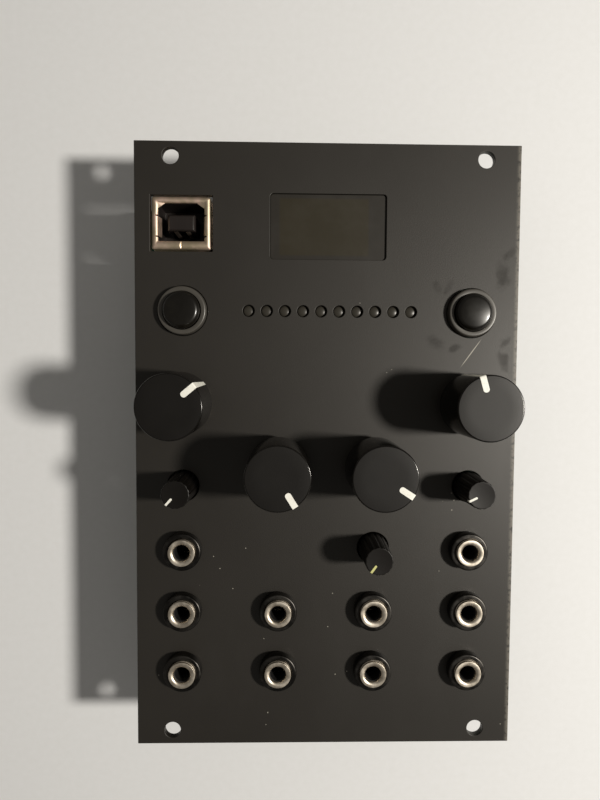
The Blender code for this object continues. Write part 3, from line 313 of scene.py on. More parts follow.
# %% [markdown]
# Most small parts share a handful of finishes, and one function for each kind keeps their grain at the right
# scale. Moulded plastic has a fine texture from its mould. The knobs are of it too, but fingers have polished
# their edges and sides, so their gloss depends on which way the surface faces.

# %% Moulded plastics
def moulded(name, dark, light, rough, grain_depth=0.00002, specular=0.4):
    """Moulded plastic: fine texture, slow change of tone, a trace of wear in the roughness."""
    paint = Paint(name)
    slow = paint.noise(180, 3)
    grain = paint.noise(6500, 2, 0.6)
    colour = paint.blend(slow, dark, light)
    roughness = rough + 0.10 * (slow - 0.5) + 0.06 * (grain - 0.5)
    normal = paint.bump(grain, grain_depth, 0.7)
    return paint.finish(
        Base_Color=colour, Roughness=roughness, Normal=normal, Specular_IOR_Level=specular,
        Specular_Tint=SHEEN_TINT)


def turned_plastic():
    """Knob plastic: the flat end is matt, the edge and the side are polished by fingers."""
    paint = Paint("knob_black")
    slow = paint.noise(180, 3)
    grain = paint.noise(6500, 2, 0.6)
    normal = paint.node("ShaderNodeNewGeometry", {}, {}, "Normal")
    upright = paint.node("ShaderNodeSeparateXYZ", {}, {0: normal}, "Z")
    flat = paint.ramp(upright, 0.990, 0.999)
    colour = paint.blend(slow, tone(8, 6, 4), tone(15, 12, 9))
    roughness = 0.15 + 0.27 * flat + 0.06 * slow
    relief = paint.bump(grain, 0.00002, 0.06 + 0.6 * flat)
    return paint.finish(
        Base_Color=colour, Roughness=roughness, Normal=relief, Specular_IOR_Level=0.38,
        Specular_Tint=SHEEN_TINT)


knob_black = turned_plastic()
fluted_black = moulded("fluted_black", tone(8, 6, 4), tone(16, 12, 9), 0.40, 0.00001, 0.34)
tongue_black = moulded("tongue_black", tone(29, 24, 21), tone(39, 33, 30), 0.38)
black_plastic = moulded("black_plastic", tone(24, 23, 22), tone(34, 32, 30), 0.5)
ring_satin = moulded("ring_satin", tone(60, 56, 49), tone(78, 73, 65), 0.37, 0.00001, 0.75)
lamp_bar = moulded("lamp_bar", tone(30, 29, 28), tone(42, 40, 38), 0.45)
chip_black = moulded("chip_black", tone(30, 30, 31), tone(40, 40, 41), 0.55)
phenolic = moulded("phenolic", tone(92, 56, 30), tone(112, 70, 38), 0.6)
print("moulded plastics mixed, such as", knob_black.name, "and", ring_satin.name)

# %% [markdown]
# The buttons' domes are polished: a clear top layer lies over a duller one, and wiping has left hairlines.
# The pointers are white filling that has collected a little dirt, and one of them has yellowed.

# %% Polished plastic and filling
def glossy(name, dark, light, rough):
    """Polished plastic: a clear top layer over a duller one, with hairline marks and greasy patches."""
    paint = Paint(name)
    marks = paint.noise(900, 4, 0.6, (1, 6, 1))
    patch = paint.ramp(paint.noise(260, 3), 0.45, 0.70)
    colour = paint.blend(patch * 0.5, dark, light)
    roughness = rough + 0.06 * patch + 0.05 * marks
    normal = paint.bump(marks, 0.000004, 0.4)
    return paint.finish(
        Base_Color=colour, Roughness=roughness, Normal=normal, Specular_Tint=SHEEN_TINT,
        Specular_IOR_Level=0.36, Coat_Weight=0.26 - 0.1 * patch, Coat_Roughness=0.13)


def dusty_white(name, clean, dirty):
    """Filling of a pointer, with dirt settled in it."""
    paint = Paint(name)
    dirt = paint.ramp(paint.noise(1500, 4, 0.65), 0.48, 0.75)
    colour = paint.blend(dirt * 0.45, clean, dirty)
    normal = paint.bump(dirt, 0.00002, 0.5)
    return paint.finish(Base_Color=colour, Roughness=0.45 + 0.2 * dirt, Normal=normal)


dome_gloss = glossy("dome_gloss", tone(12, 9, 5), tone(24, 21, 15), 0.29)
pointer_white = dusty_white("pointer_white", tone(246, 240, 222), tone(204, 192, 166))
pointer_yellowed = dusty_white("pointer_yellowed", tone(206, 200, 128), tone(150, 144, 84))
print("polished plastic and filling:", dome_gloss.name, pointer_white.name, pointer_yellowed.name)

# %% [markdown]
# Plating is never even. Slow blotches shift its colour and its polish together, and fine marks run the way
# the metal was turned or rolled, which a stretched noise gives. One recipe makes all the metals.

# %% Metals
def plated(name, dark, light, rough, scratch=(1, 1, 1), coarse=400):
    """Plated metal: blotches in colour and roughness, and fine marks along one direction."""
    paint = Paint(name)
    blotch = paint.ramp(paint.noise(coarse, 4, 0.6), 0.35, 0.70)
    marks = paint.noise(3000, 3, 0.6, scratch)
    colour = paint.blend(blotch, dark, light)
    roughness = rough + 0.14 * blotch + 0.10 * (marks - 0.5)
    normal = paint.bump(marks, 0.000008, 0.6)
    return paint.finish(Base_Color=colour, Roughness=roughness, Metallic=1.0, Normal=normal)


nickel = plated("nickel", tone(208, 193, 170), tone(238, 224, 202), 0.38)
tin_plate = plated("tin_plate", tone(216, 196, 160), tone(238, 206, 184), 0.42, (1, 8, 1), 250)
black_nickel = plated("black_nickel", tone(52, 49, 45), tone(74, 70, 64), 0.30)
pot_steel = plated("pot_steel", tone(170, 166, 158), tone(206, 202, 194), 0.30, (1, 1, 10))
gold = plated("gold", tone(206, 160, 78), tone(232, 192, 110), 0.22)
aluminium = plated("aluminium", tone(188, 188, 186), tone(214, 214, 212), 0.24, (1, 1, 12))
bronze = plated("bronze", tone(186, 166, 146), tone(214, 194, 172), 0.40)
solder = plated("solder", tone(176, 178, 180), tone(214, 216, 218), 0.20)
print("finishes so far:", len(bpy.data.materials))

# %% [markdown]
# The hidden boards are glass fibre under green lacquer. Real boards show copper tracks as faint straight
# lines under the lacquer. Cells measured by steps along and across give borders that run straight or at
# 45 degrees, as tracks do, and each cell's middle is a small plated hole.

# %% Circuit board lacquer
TRACK_SCALE = 330.0


def board_lacquer():
    paint = Paint("board_lacquer")
    nearest, second = (
        paint.cells(TRACK_SCALE, 0.9, feature=feature, distance="MANHATTAN", voronoi_dimensions="2D")
        for feature in ("F1", "F2"))
    track = paint.ramp(second - nearest, 0.05, 0.11)
    via = paint.ramp(nearest, 0.06, 0.09)
    slow = paint.noise(90, 3)
    ground = paint.blend(slow, tone(12, 62, 40), tone(18, 76, 50))
    colour = paint.blend(track, tone(22, 88, 57), ground)
    colour = paint.blend(via, tone(96, 112, 78), colour)
    normal = paint.bump(1 - track, 0.00003, 0.5)
    return paint.finish(Base_Color=colour, Roughness=0.28 + 0.1 * slow, Normal=normal)


lacquer = board_lacquer()
print("board lacquer:", len(lacquer.node_tree.nodes), "nodes")

# %% [markdown]
# Behind the window lies dark glass. The unlit picture area is a shade browner than the black border round
# it, as organic displays are, and fingers have left a faint film that only shows in the gloss. The lamps'
# bodies carry painted shade: they are darker low down, deep in their holes, and lighter at the top.

# %% Display glass and lamp bodies
PICTURE_AREA = (0.0187, 0.0118)
PICTURE_SHIFT = 0.00085
PICTURE_BLUR = 0.0003
GLASS_OVER_WINDOW = 0.0076
window_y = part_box("display_glass")[1].y - GLASS_OVER_WINDOW


def display_finish():
    paint = Paint("display_dark")
    picture = 1
    offsets = (paint.axis("X") + PICTURE_SHIFT, paint.axis("Y") - window_y)
    for offset, length in zip(offsets, PICTURE_AREA):
        away = paint.node("ShaderNodeMath", {"operation": "ABSOLUTE"}, {0: offset})
        picture = (1 - paint.ramp(away, length / 2 - PICTURE_BLUR, length / 2 + PICTURE_BLUR)) * picture
    film = paint.ramp(paint.noise(120, 4, 0.6), 0.40, 0.75)
    colour = paint.blend(picture, COAT_LIGHT, tone(42, 36, 22))
    rough = 0.42 + 0.08 * film
    return paint.finish(Base_Color=colour, Roughness=rough, Specular_IOR_Level=0.5, Specular_Tint=SHEEN_TINT)


def lens_finish():
    """Lamp body with painted shade: darker low in its hole, lighter at the top."""
    paint = Paint("lamp_lens")
    # painted shade: the lower part of each lamp, down in its hole, is darker
    depth = paint.ramp(paint.axis("Z"), FACE - 0.0013, FACE - 0.0009)
    colour = paint.blend(depth, tone(20, 18, 15), tone(52, 48, 40))
    return paint.finish(Base_Color=colour, Roughness=0.30 + 0.08 * paint.noise(2000, 2),
                        Specular_IOR_Level=0.45, Specular_Tint=SHEEN_TINT)


display_dark = display_finish()
lamp_lens = lens_finish()
print("window's middle at", round(window_y, 4))

# %% [markdown]
# Carried-over construction nodes keep their shape and only change their finish. The record says which slot
# each node belongs to, so one table from slot to finish dresses them all.

# %% Dress the carried-over nodes
SLOT_FINISH = {
    "front_panel": coat,
    "circuit_board": lacquer,
    "display_glass": display_dark,
    "black_plastic": black_plastic,
    "knob": knob_black,
    "button_cap": dome_gloss,
    "button_ring": ring_satin,
    "usb_shell": tin_plate,
    "jack_socket": nickel,
    "jack_nut": black_nickel,
    "pot_metal": pot_steel,
    "indicator": lamp_lens,
    "capacitor": aluminium,
}
slot_of = {entry["node"]: entry["material_slot"] for entry in frame["record"]["subparts"]}
for node_name, node in frame["nodes"].items():
    node.data.materials.clear()
    node.data.materials.append(SLOT_FINISH[slot_of[node_name]])
print("dressed", len(slot_of), "nodes")

# %% [markdown]
# New pieces start from a primitive and are shaped with Blender's own operators. An operator acts on all that
# is selected, so everything is deselected before a primitive is added, and one piece at a time is edited.

# %% Selecting and naming
def nothing_selected():
    if bpy.context.object and bpy.context.object.mode != "OBJECT":
        bpy.ops.object.mode_set(mode="OBJECT")
    bpy.ops.object.select_all(action="DESELECT")


def only(piece):
    """Leaves just this piece selected and active, in object mode."""
    nothing_selected()
    piece.select_set(True)
    bpy.context.view_layer.objects.active = piece
    return piece


def named(name):
    """Names the primitive that was just added and puts its place into its mesh."""
    piece = bpy.context.object
    piece.name = name
    piece.data.name = name
    bpy.ops.object.transform_apply(location=True, rotation=True, scale=True)
    return piece


def edit(piece):
    only(piece)
    bpy.ops.object.mode_set(mode="EDIT")


def done():
    bpy.ops.object.mode_set(mode="OBJECT")

# %% [markdown]
# With no window there is nothing to click on, so in edit mode the verts, edges or faces are picked by a test
# of where they lie or which way they face. A few such tests are used again and again.

# %% Picking in edit mode
SQUARE_ON = 0.9


def pick(piece, kind, wanted):
    """In edit mode, selects the verts, edges or faces that pass a test and nothing else."""
    bpy.ops.mesh.select_mode(type=kind)
    bpy.ops.mesh.select_all(action="DESELECT")
    mesh = bmesh.from_edit_mesh(piece.data)
    items = {"VERT": mesh.verts, "EDGE": mesh.edges, "FACE": mesh.faces}[kind]
    for item in items:
        if wanted(item):
            item.select_set(True)
    bmesh.update_edit_mesh(piece.data)


def faces_up(face):
    return face.normal.z > SQUARE_ON


def faces_down(face):
    return face.normal.z < -SQUARE_ON


def faces_aside(face):
    return abs(face.normal.x) > SQUARE_ON


def rise(side):
    """How far an edge climbs from one of its ends to the other."""
    return abs(side.verts[0].co.z - side.verts[1].co.z)

# %% [markdown]
# Four steps come back in nearly every piece: faces are extruded along a step, edges are extruded along a
# step, what is selected is resized about a centre, and at the end all faces are turned outwards.

# %% Shaping
def pull(step):
    bpy.ops.mesh.extrude_region_move(TRANSFORM_OT_translate={"value": step})


def pull_edges(step):
    bpy.ops.mesh.extrude_edges_move(TRANSFORM_OT_translate={"value": step})


def resize(shares, centre):
    bpy.ops.transform.resize(value=shares, center_override=centre)


def face_outwards():
    bpy.ops.mesh.select_all(action="SELECT")
    bpy.ops.mesh.normals_make_consistent(inside=False)

# %% [markdown]
# A piece is modelled round the world's origin, then moved and turned to its place, and the place is put into
# its mesh at once, so that every finished object sits at the origin. What repeats is modelled once, and each
# copy has a mesh of its own.

# %% Placing and copying
def settle(piece, place=(0, 0, 0), turn=0.0):
    """Moves and turns a piece to its place and applies both to its mesh."""
    only(piece)
    piece.matrix_world = Matrix.Translation(place) @ Matrix.Rotation(turn, 4, "Z") @ piece.matrix_world
    bpy.ops.object.transform_apply(location=True, rotation=True, scale=True)
    return piece


def twin(piece, name):
    """A copy with a mesh of its own."""
    copy = piece.copy()
    copy.data = piece.data.copy()
    copy.name = name
    copy.data.name = name
    bpy.context.scene.collection.objects.link(copy)
    return copy


def drop(*pieces):
    for piece in pieces:
        bpy.data.objects.remove(piece, do_unlink=True)

# %% [markdown]
# Rounding, shading, cutting and joining are the usual last steps of a piece. Each modifier is applied as soon
# as it is added, so that the mesh itself holds the shape. Real edges are never sharp: a small bevel on them
# is what catches the light.

# %% Rounding, shading, cutting and joining
def modify(piece, kind, **settings):
    only(piece)
    step = piece.modifiers.new(kind.lower(), kind)
    for key, value in settings.items():
        setattr(step, key, value)
    bpy.ops.object.modifier_apply(modifier=step.name)
    return piece


def soften(piece, width, segments=2, angle=40):
    """Rounds every sharp edge a little, so that it catches the light."""
    return modify(
        piece, "BEVEL", width=width, segments=segments, limit_method="ANGLE",
        angle_limit=radians(angle), use_clamp_overlap=True)


def smooth(piece, angle=35, weigh=False):
    """Shades a piece smooth but for its sharp edges; weighing keeps its large faces flat."""
    only(piece)
    bpy.ops.object.shade_smooth_by_angle(angle=radians(angle))
    if weigh:
        modify(piece, "WEIGHTED_NORMAL", keep_sharp=True)
    return piece


def cut(piece, *cutters):
    for cutter in cutters:
        modify(piece, "BOOLEAN", operation="DIFFERENCE", solver="EXACT", object=cutter)
    drop(*cutters)
    return piece


def join(pieces, name=None):
    """Joins pieces into the first of them."""
    first = only(pieces[0])
    for other in pieces[1:]:
        other.select_set(True)
    bpy.ops.object.join()
    if name:
        first.name = name
    return first


def spread(model, name, places):
    """Copies a model to every (x, y, turn) and joins the copies into one piece."""
    copies = [settle(twin(model, name), (x, y, 0), turn) for x, y, turn in places]
    drop(model)
    return join(copies)

# %% [markdown]
# Last, a piece gets its finish, the body that it moves with and the construction nodes that it
# stands for. Places come from the nodes' boxes. A family is a set of models that is set down several times,
# such as the five pieces of one patch socket.

# %% Finished pieces and families
def show(piece, finish, body, replaced=()):
    """Gives a finished piece its finish, its body and the nodes it stands for."""
    piece.data.materials.clear()
    piece.data.materials.append(finish)
    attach(piece, body)
    if replaced:
        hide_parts(*replaced)
    return piece


def middle(node):
    low, high = (Vector(corner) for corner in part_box(node))
    return (low + high) / 2, low, high


def spot_of(node):
    """The place on the floor under a node's middle."""
    centre = middle(node)[0]
    return Vector((centre.x, centre.y, 0))


def put(model, name, spot, finish, body, replaced=(), turn=0.0):
    """Sets down a finished copy of a model."""
    return show(settle(twin(model, name), spot, turn), finish, body, replaced)


def put_family(models, members, place_of, body="chassis"):
    """Sets down a copy of every model for each member of a family, then drops the models.

    Each model comes with its finish, its slot and, where it stands for nodes, what their names share.
    """
    for member in members:
        spot, rides_on = spot_of(place_of + member), body.format(member)
        for prefix, (model, finish, slot, *stands_for) in models.items():
            replaced = [shared + member for shared in stands_for]
            put(model, prefix + member, spot, finish, rides_on, replaced)
    drop(*(model for model, *_ in models.values()))

# %% [markdown]
# Nearly every piece starts as a box, a rod or a turned section. A turned piece could be spun, but extruding a
# circle from point to point of its section keeps every ring closed and ends it in a clean pole or disc.

# %% Boxes, rods and turned pieces
WELD = 0.000002


def block(name, size, centre=(0, 0, 0)):
    """A box of a given size, ready to be shaped further."""
    nothing_selected()
    bpy.ops.mesh.primitive_cube_add(size=1, location=centre, scale=size)
    return named(name)


def rod(name, radius, low, high, steps, centre=(0, 0)):
    nothing_selected()
    bpy.ops.mesh.primitive_cylinder_add(
        vertices=steps, radius=radius, depth=high - low, location=(*centre, (low + high) / 2))
    return named(name)


def turned(name, profile, steps, closed=False):
    """A turned piece: a circle is extruded from point to point of its profile and resized at each.

    The profile ends in a point where its last radius is zero, and in a flat disc otherwise.
    A closed profile runs back to its start, which makes a ring.
    """
    nothing_selected()
    radius, height = profile[0]
    bpy.ops.mesh.primitive_circle_add(
        vertices=steps, radius=radius, fill_type="NOTHING" if closed else "NGON",
        location=(0, 0, height))
    piece = named(name)
    edit(piece)
    bpy.ops.mesh.select_mode(type="EDGE")
    bpy.ops.mesh.select_all(action="SELECT")
    for next_radius, next_height in profile[1:] + (profile[:1] if closed else []):
        pull_edges((0, 0, next_height - height))
        if next_radius == 0:
            bpy.ops.mesh.merge(type="CENTER")
        else:
            share = next_radius / radius
            resize((share, share, 1), (0, 0, next_height))
        radius, height = next_radius, next_height
    if radius and not closed:
        bpy.ops.mesh.edge_face_add()
    bpy.ops.mesh.select_all(action="SELECT")
    bpy.ops.mesh.remove_doubles(threshold=WELD)
    bpy.ops.mesh.normals_make_consistent(inside=False)
    done()
    return piece


def arc(centre_radius, centre_height, radius, start, end, count):
    """Profile points on an arc, its angles in degrees from outwards to upwards."""
    turns = [radians(start + (end - start) * step / count) for step in range(count + 1)]
    return [(centre_radius + radius * cos(t), centre_height + radius * sin(t)) for t in turns]

# %% [markdown]
# Bent sheet metal and inlaid lines are strips: an edge is extruded along its route, which leaves an open
# sheet, and the sheet is then given a thickness on its inner side.

# %% Bent strips
def wall(sheet, thickness):
    """Leaves edit mode and gives an open sheet its thickness, inwards from the side that faces up."""
    face_outwards()
    done()
    top = max(sheet.data.polygons, key=lambda face: face.center.z)
    if top.normal.z < 0:
        edit(sheet)
        bpy.ops.mesh.select_all(action="SELECT")
        bpy.ops.mesh.flip_normals()
        done()
    return modify(sheet, "SOLIDIFY", thickness=thickness, offset=-1)


def strip(name, route, width, thickness, end_share=1.0):
    """A flat strip laid along a route of (distance, height) points that leads away from the axis.

    Its first end is rounded, its last end narrows to a share of its width, and its thickness goes
    inwards from the route.
    """
    nothing_selected()
    start, level = route[0]
    bpy.ops.mesh.primitive_plane_add(size=width, location=(0, start + width / 2, level))
    line = named(name)
    edit(line)
    pick(line, "VERT", lambda vert: vert.co.y < start + width / 4)
    bpy.ops.mesh.bevel(offset=width * 0.45, segments=5, affect="VERTICES")
    pick(line, "EDGE", lambda side: all(vert.co.y > start + width * 0.9 for vert in side.verts))
    spot = Vector((0, start + width, level))
    for distance, height in route[1:]:
        step = Vector((0, distance, height)) - spot
        pull_edges(step)
        spot += step
    resize((end_share, 1, 1), spot)
    return wall(line, thickness)

# %% [markdown]
# The floor is a plain pale sheet, wide enough to fill every view. It is stage, so it belongs to nobody.

# %% Floor
FLOOR_SIZE = 6.0


def make_floor():
    nothing_selected()
    bpy.ops.mesh.primitive_plane_add(size=FLOOR_SIZE, location=(0, 0, 0))
    floor = named("studio_floor")
    paint = Paint("studio_paper")
    fibre = paint.noise(600, 3)
    colour = paint.blend(fibre, tone(226, 222, 214), tone(232, 228, 221))
    floor.data.materials.append(paint.finish(Base_Color=colour, Roughness=0.9, Specular_IOR_Level=0.1))
    print("floor:", FLOOR_SIZE, "m across")


make_floor()

# %% [markdown]
# The front panel is one sheet with some thirty holes, whose places come from the pieces that pass through
# them. The names of the nodes end in a number or a side, so a few lists of endings name them all.

# %% Places of the holes
RAIL_HOLE_RADIUS = 0.00175
RAIL_HOLE_FROM_LEFT = 0.0075
RAIL_HOLE_FROM_EDGE = 0.003
RAIL_HOLE_SPACING = 0.06604
LAMP_COUNT = 10
LAMP_PITCH = 0.00381
LAMP_HOLE_RADIUS = 0.00125
RAIL_HOLE_STEPS, HOLE_STEPS, LAMP_HOLE_STEPS = 40, 56, 28
JACKS = [str(number) for number in range(1, 11)]
KNOB_SIDES = ("upper_left", "upper_right", "middle_left", "middle_right")
TRIMMER_SIDES = ("left", "right", "centre")
BUTTON_SIDES = ("left", "right")
HOLES = {
    "jack_nut_": (0.0033, JACKS),
    "button_ring_": (0.00525, BUTTON_SIDES),
    "pot_body_": (0.0037, KNOB_SIDES),
    "trimmer_body_": (0.0034, TRIMMER_SIDES),
}
strip_centre, strip_low, strip_high = middle("indicator_strip")
lamp_places = [
    (strip_centre.x + LAMP_PITCH * (index - (LAMP_COUNT - 1) / 2), strip_centre.y)
    for index in range(LAMP_COUNT)
]


def hole_places():
    """Radius, centre and facets of every round hole."""
    left = panel_low.x + RAIL_HOLE_FROM_LEFT
    for x in (left, left + RAIL_HOLE_SPACING):
        for y in (panel_low.y + RAIL_HOLE_FROM_EDGE, panel_high.y - RAIL_HOLE_FROM_EDGE):
            yield RAIL_HOLE_RADIUS, (x, y), RAIL_HOLE_STEPS
    for prefix, (radius, names) in HOLES.items():
        for name in names:
            yield radius, tuple(middle(prefix + name)[0][:2]), HOLE_STEPS
    for place in lamp_places:
        yield LAMP_HOLE_RADIUS, place, LAMP_HOLE_STEPS


print("round holes:", len(list(hole_places())))

# %% [markdown]
# The sheet is a box that is cut by one set of cylinders and blocks. Its edges are then rounded by a tenth of
# a millimetre, because a sheet's cut edges always catch a thin line of light.

# %% Front panel
OVERRUN = 0.001
PANEL_EDGE = 0.00012
WINDOW_SIZE = (0.0244, 0.0136)
WINDOW_CORNER = 0.0007
USB_GAP = 0.0004
BEHIND_PANEL = panel_low.z - 0.0003


def window_block(size, corner, low, high, name="window"):
    """A block with rounded upright edges, centred on the display's window."""
    pane = block(name, (*size, high - low), (0, window_y, (low + high) / 2))
    edit(pane)
    pick(pane, "EDGE", lambda side: rise(side) > corner)
    bpy.ops.mesh.bevel(offset=corner, segments=6)
    done()
    return pane


def make_panel():
    low, high = panel_low.z - OVERRUN, panel_high.z + OVERRUN
    panel = block("panel_plate", panel_high - panel_low, (panel_low + panel_high) / 2)
    cutters = [rod("hole", radius, low, high, steps, centre) for radius, centre, steps in hole_places()]
    usb_centre, usb_low, usb_high = middle("usb_shell")
    width, height = (usb_high - usb_low)[:2]
    usb_size = (width + USB_GAP * 2, height + USB_GAP * 2, high - low)
    cutters.append(block("slot", usb_size, (usb_centre.x, usb_centre.y, (low + high) / 2)))
    cut(panel, join([window_block(WINDOW_SIZE, WINDOW_CORNER, low, high), *cutters]))
    soften(panel, PANEL_EDGE, 3)
    smooth(panel, weigh=True)
    show(panel, coat, "chassis", ["front_panel"])
    print("panel has", len(panel.data.polygons), "faces")


make_panel()

# %% [markdown]
# A large knob is a plain black cap with a slight taper and a rounded upper edge. It is hollow under its
# skirt, with a hub that grips the shaft, so its section is drawn from the bore outwards and turned.

# %% Cap of the large knobs
KNOB_RADIUS = 0.0065
KNOB_TAPER = 0.0001
KNOB_EDGE = 0.0003
KNOB_WALL = 0.0010
KNOB_CEILING = 0.0025
KNOB_HUB = 0.0044
KNOB_BORE = 0.0032


def knob_cap(base, top):
    upper = KNOB_RADIUS - KNOB_TAPER
    ceiling = top - KNOB_CEILING
    profile = [
        (KNOB_BORE, ceiling), (KNOB_BORE, base + KNOB_EDGE), (KNOB_HUB, base + KNOB_EDGE),
        (KNOB_HUB, ceiling), (upper - KNOB_WALL, ceiling), (KNOB_RADIUS - KNOB_WALL, base + 0.0001),
        (KNOB_RADIUS - KNOB_WALL + 0.0001, base), (KNOB_RADIUS - 0.00015, base),
        (KNOB_RADIUS, base + 0.00015),
    ]
    profile += arc(upper - KNOB_EDGE, top - KNOB_EDGE, KNOB_EDGE, 3, 90, 8)
    profile += [(upper * 0.6, top - 0.00003), (0, top - 0.00004)]
    return smooth(turned("knob_cap", profile, 96), 30)

# %% [markdown]
# The white pointer is a thin inlaid strip that starts part way across the top and runs over the edge and
# down the side, a little narrower at its foot. It stands proud of the cap by less than a hair.

# %% Pointer of the large knobs
POINTER_WIDTH = 0.0012
POINTER_END_SHARE = 0.6
POINTER_START = 0.0032
POINTER_PROUD = 0.00004
POINTER_THICKNESS = 0.00022


def knob_pointer(base, top):
    upper = KNOB_RADIUS - KNOB_TAPER
    route = [(POINTER_START, top + POINTER_PROUD)]
    route += reversed(arc(upper - KNOB_EDGE, top - KNOB_EDGE, KNOB_EDGE + POINTER_PROUD, 0, 90, 8))
    route += [(KNOB_RADIUS + POINTER_PROUD, base + 0.0003)]
    return smooth(strip("knob_pointer", route, POINTER_WIDTH, POINTER_THICKNESS, POINTER_END_SHARE), 50)

# %% [markdown]
# The joint's range is centred on twelve o'clock, so its middle says how far a knob is turned. One cap and one
# pointer are modelled, and each copy is turned to its joint's place and rides on the knob's body.

# %% Four large knobs
def turn_of(joint_name):
    """How far clockwise a pointer stands from twelve o'clock."""
    joint = next(j for j in frame["joints"] if j["name"] == joint_name)
    return radians(sum(joint["range_deg"]) / 2)


def make_knobs():
    _, low, high = middle("knob_" + KNOB_SIDES[0])
    cap, pointer = knob_cap(low.z, high.z), knob_pointer(low.z, high.z)
    for side in KNOB_SIDES:
        spot, turn, body = spot_of("pot_shaft_" + side), -turn_of(side + "_knob_turn"), side + "_knob_body"
        put(cap, "knob_cap_" + side, spot, knob_black, body, ["knob_" + side], turn)
        put(pointer, "knob_pointer_" + side, spot, pointer_white, body, turn=turn)
    drop(cap, pointer)
    print("knobs reach", round(high.z, 4))


make_knobs()

# %% [markdown]
# The three small knobs are slender fluted caps. The cap starts as a circle with six points to a flute; the
# middle points of each flute are pulled in, and the outline is extruded upwards with a taper. At the top
# the outline is made round again, which leaves the smooth crown that the real ones have.

# %% Cap of the small knobs
TRIMMER_RADII = (0.0033, 0.00285)
TRIMMER_FLUTES = 15
TRIMMER_CROWN = 0.00018


def flute_share(vert):
    """How far round its flute a point lies, from 0 to 1."""
    turn = Vector((vert.co.x, vert.co.y)).angle_signed(Vector((1, 0)))
    return turn / (2 * pi) * TRIMMER_FLUTES % 1


def trimmer_cap(base, top):
    foot, crown = TRIMMER_RADII
    nothing_selected()
    bpy.ops.mesh.primitive_circle_add(
        vertices=TRIMMER_FLUTES * 6, radius=foot, fill_type="NGON", location=(0, 0, base))
    cap = named("trimmer_cap")
    edit(cap)
    for reach, depth in ((0.20, 0.955), (0.05, 0.975)):
        pick(cap, "VERT", lambda vert: abs(flute_share(vert) - 0.5) < reach)
        resize((depth, depth, 1), (0, 0, base))
    bpy.ops.mesh.select_mode(type="EDGE")
    bpy.ops.mesh.select_all(action="SELECT")
    radius, height = foot, base
    levels = [(crown, top - TRIMMER_CROWN)]
    levels += arc(crown - TRIMMER_CROWN, top - TRIMMER_CROWN, TRIMMER_CROWN, 20, 90, 4)
    for number, (next_radius, next_height) in enumerate(levels):
        pull_edges((0, 0, next_height - height))
        share = next_radius / radius
        resize((share, share, 1), (0, 0, next_height))
        if number:
            bpy.ops.transform.tosphere(value=0.2, center_override=(0, 0, next_height))
        radius, height = next_radius, next_height
    bpy.ops.mesh.edge_face_add()
    face_outwards()
    pick(cap, "FACE", lambda face: faces_up(face) and face.calc_area() > radius ** 2)
    bpy.ops.mesh.inset(thickness=radius * 0.06, depth=-0.00002)
    done()
    return smooth(cap, 30)

# %% [markdown]
# A white line is let into each small knob as the pointers are into the large ones, and the middle one has
# yellowed. Below the panel's face the cap goes on as a plain pivot, which is joined to it.

# %% Three small knobs
TRIMMER_LINE = 0.00045
TRIMMER_LINE_START = 0.0010
TRIMMER_LINE_DEPTH = 0.0003
TRIMMER_PIVOT = 0.0022
TRIMMER_PIVOT_LENGTH = 0.0033


def trimmer_pointer(top):
    crown = TRIMMER_RADII[1]
    corner = crown - TRIMMER_CROWN
    route = [(TRIMMER_LINE_START, top + POINTER_PROUD)]
    route += reversed(arc(corner, top - TRIMMER_CROWN, TRIMMER_CROWN + POINTER_PROUD, 10, 90, 5))
    route += [(crown + 0.00006, top - 0.0008)]
    return smooth(strip("trimmer_pointer", route, TRIMMER_LINE, TRIMMER_LINE_DEPTH), 50)


def make_trimmers():
    _, low, high = middle("trimmer_knob_" + TRIMMER_SIDES[0])
    base = low.z + TRIMMER_PIVOT_LENGTH
    cap, pointer = trimmer_cap(base, high.z), trimmer_pointer(high.z)
    join([cap, rod("pivot", TRIMMER_PIVOT, low.z, base + 0.0002, 32)])
    for side in TRIMMER_SIDES:
        spot, turn = spot_of("trimmer_body_" + side), -turn_of(side + "_trimmer_turn")
        body, filling = side + "_trimmer_body", pointer_yellowed if side == "centre" else pointer_white
        put(cap, "trimmer_cap_" + side, spot, fluted_black, body, ["trimmer_knob_" + side], turn)
        put(pointer, "trimmer_pointer_" + side, spot, filling, body, turn=turn)
    drop(cap, pointer)
    print("small knobs from", round(base, 4), "to", round(high.z, 4))


make_trimmers()

# %% [markdown]
# A patch socket shows a nickel-plated bushing with a rolled thread, a funnel at its mouth and a dark bore,
# held by a round black nut. The bushing is one ring turned from its section: thread crests outside, the
# flat rim, the funnel and the bore. A black sleeve set inside the bore is painted shade, which darkens it.
# At this size a rolled thread reads as rings, so it is drawn as rings.

# %% Bushing, nut and shade sleeve of a patch socket
BUSHING_RADIUS = 0.0028
THREAD_DEPTH = 0.00014
THREAD_PITCH = 0.0005
MOUTH_RADIUS = 0.0023
BORE_RADIUS = 0.00172
RIM_ROUND = 0.00006
NUT_RADIUS = 0.0040
NUT_EDGE = 0.00035


def bushing_ring(low, top):
    profile = [(BORE_RADIUS, low), (BUSHING_RADIUS - THREAD_DEPTH, low)]
    level = low + THREAD_PITCH
    while level < top - RIM_ROUND - THREAD_PITCH:
        profile += [
            (BUSHING_RADIUS - THREAD_DEPTH, level - THREAD_PITCH * 0.38),
            (BUSHING_RADIUS, level - THREAD_PITCH * 0.08), (BUSHING_RADIUS, level + THREAD_PITCH * 0.08),
            (BUSHING_RADIUS - THREAD_DEPTH, level + THREAD_PITCH * 0.38),
        ]
        level += THREAD_PITCH
    profile += arc(BUSHING_RADIUS - RIM_ROUND, top - RIM_ROUND, RIM_ROUND, 0, 90, 4)
    profile += [(MOUTH_RADIUS, top), (0.00215, top - 0.00004), (0.0020, top - 0.00011)]
    profile += [(0.00187, top - 0.00021), (0.00178, top - 0.00033), (BORE_RADIUS, top - 0.0005)]
    return smooth(turned("bushing", profile, 64, closed=True), 32)


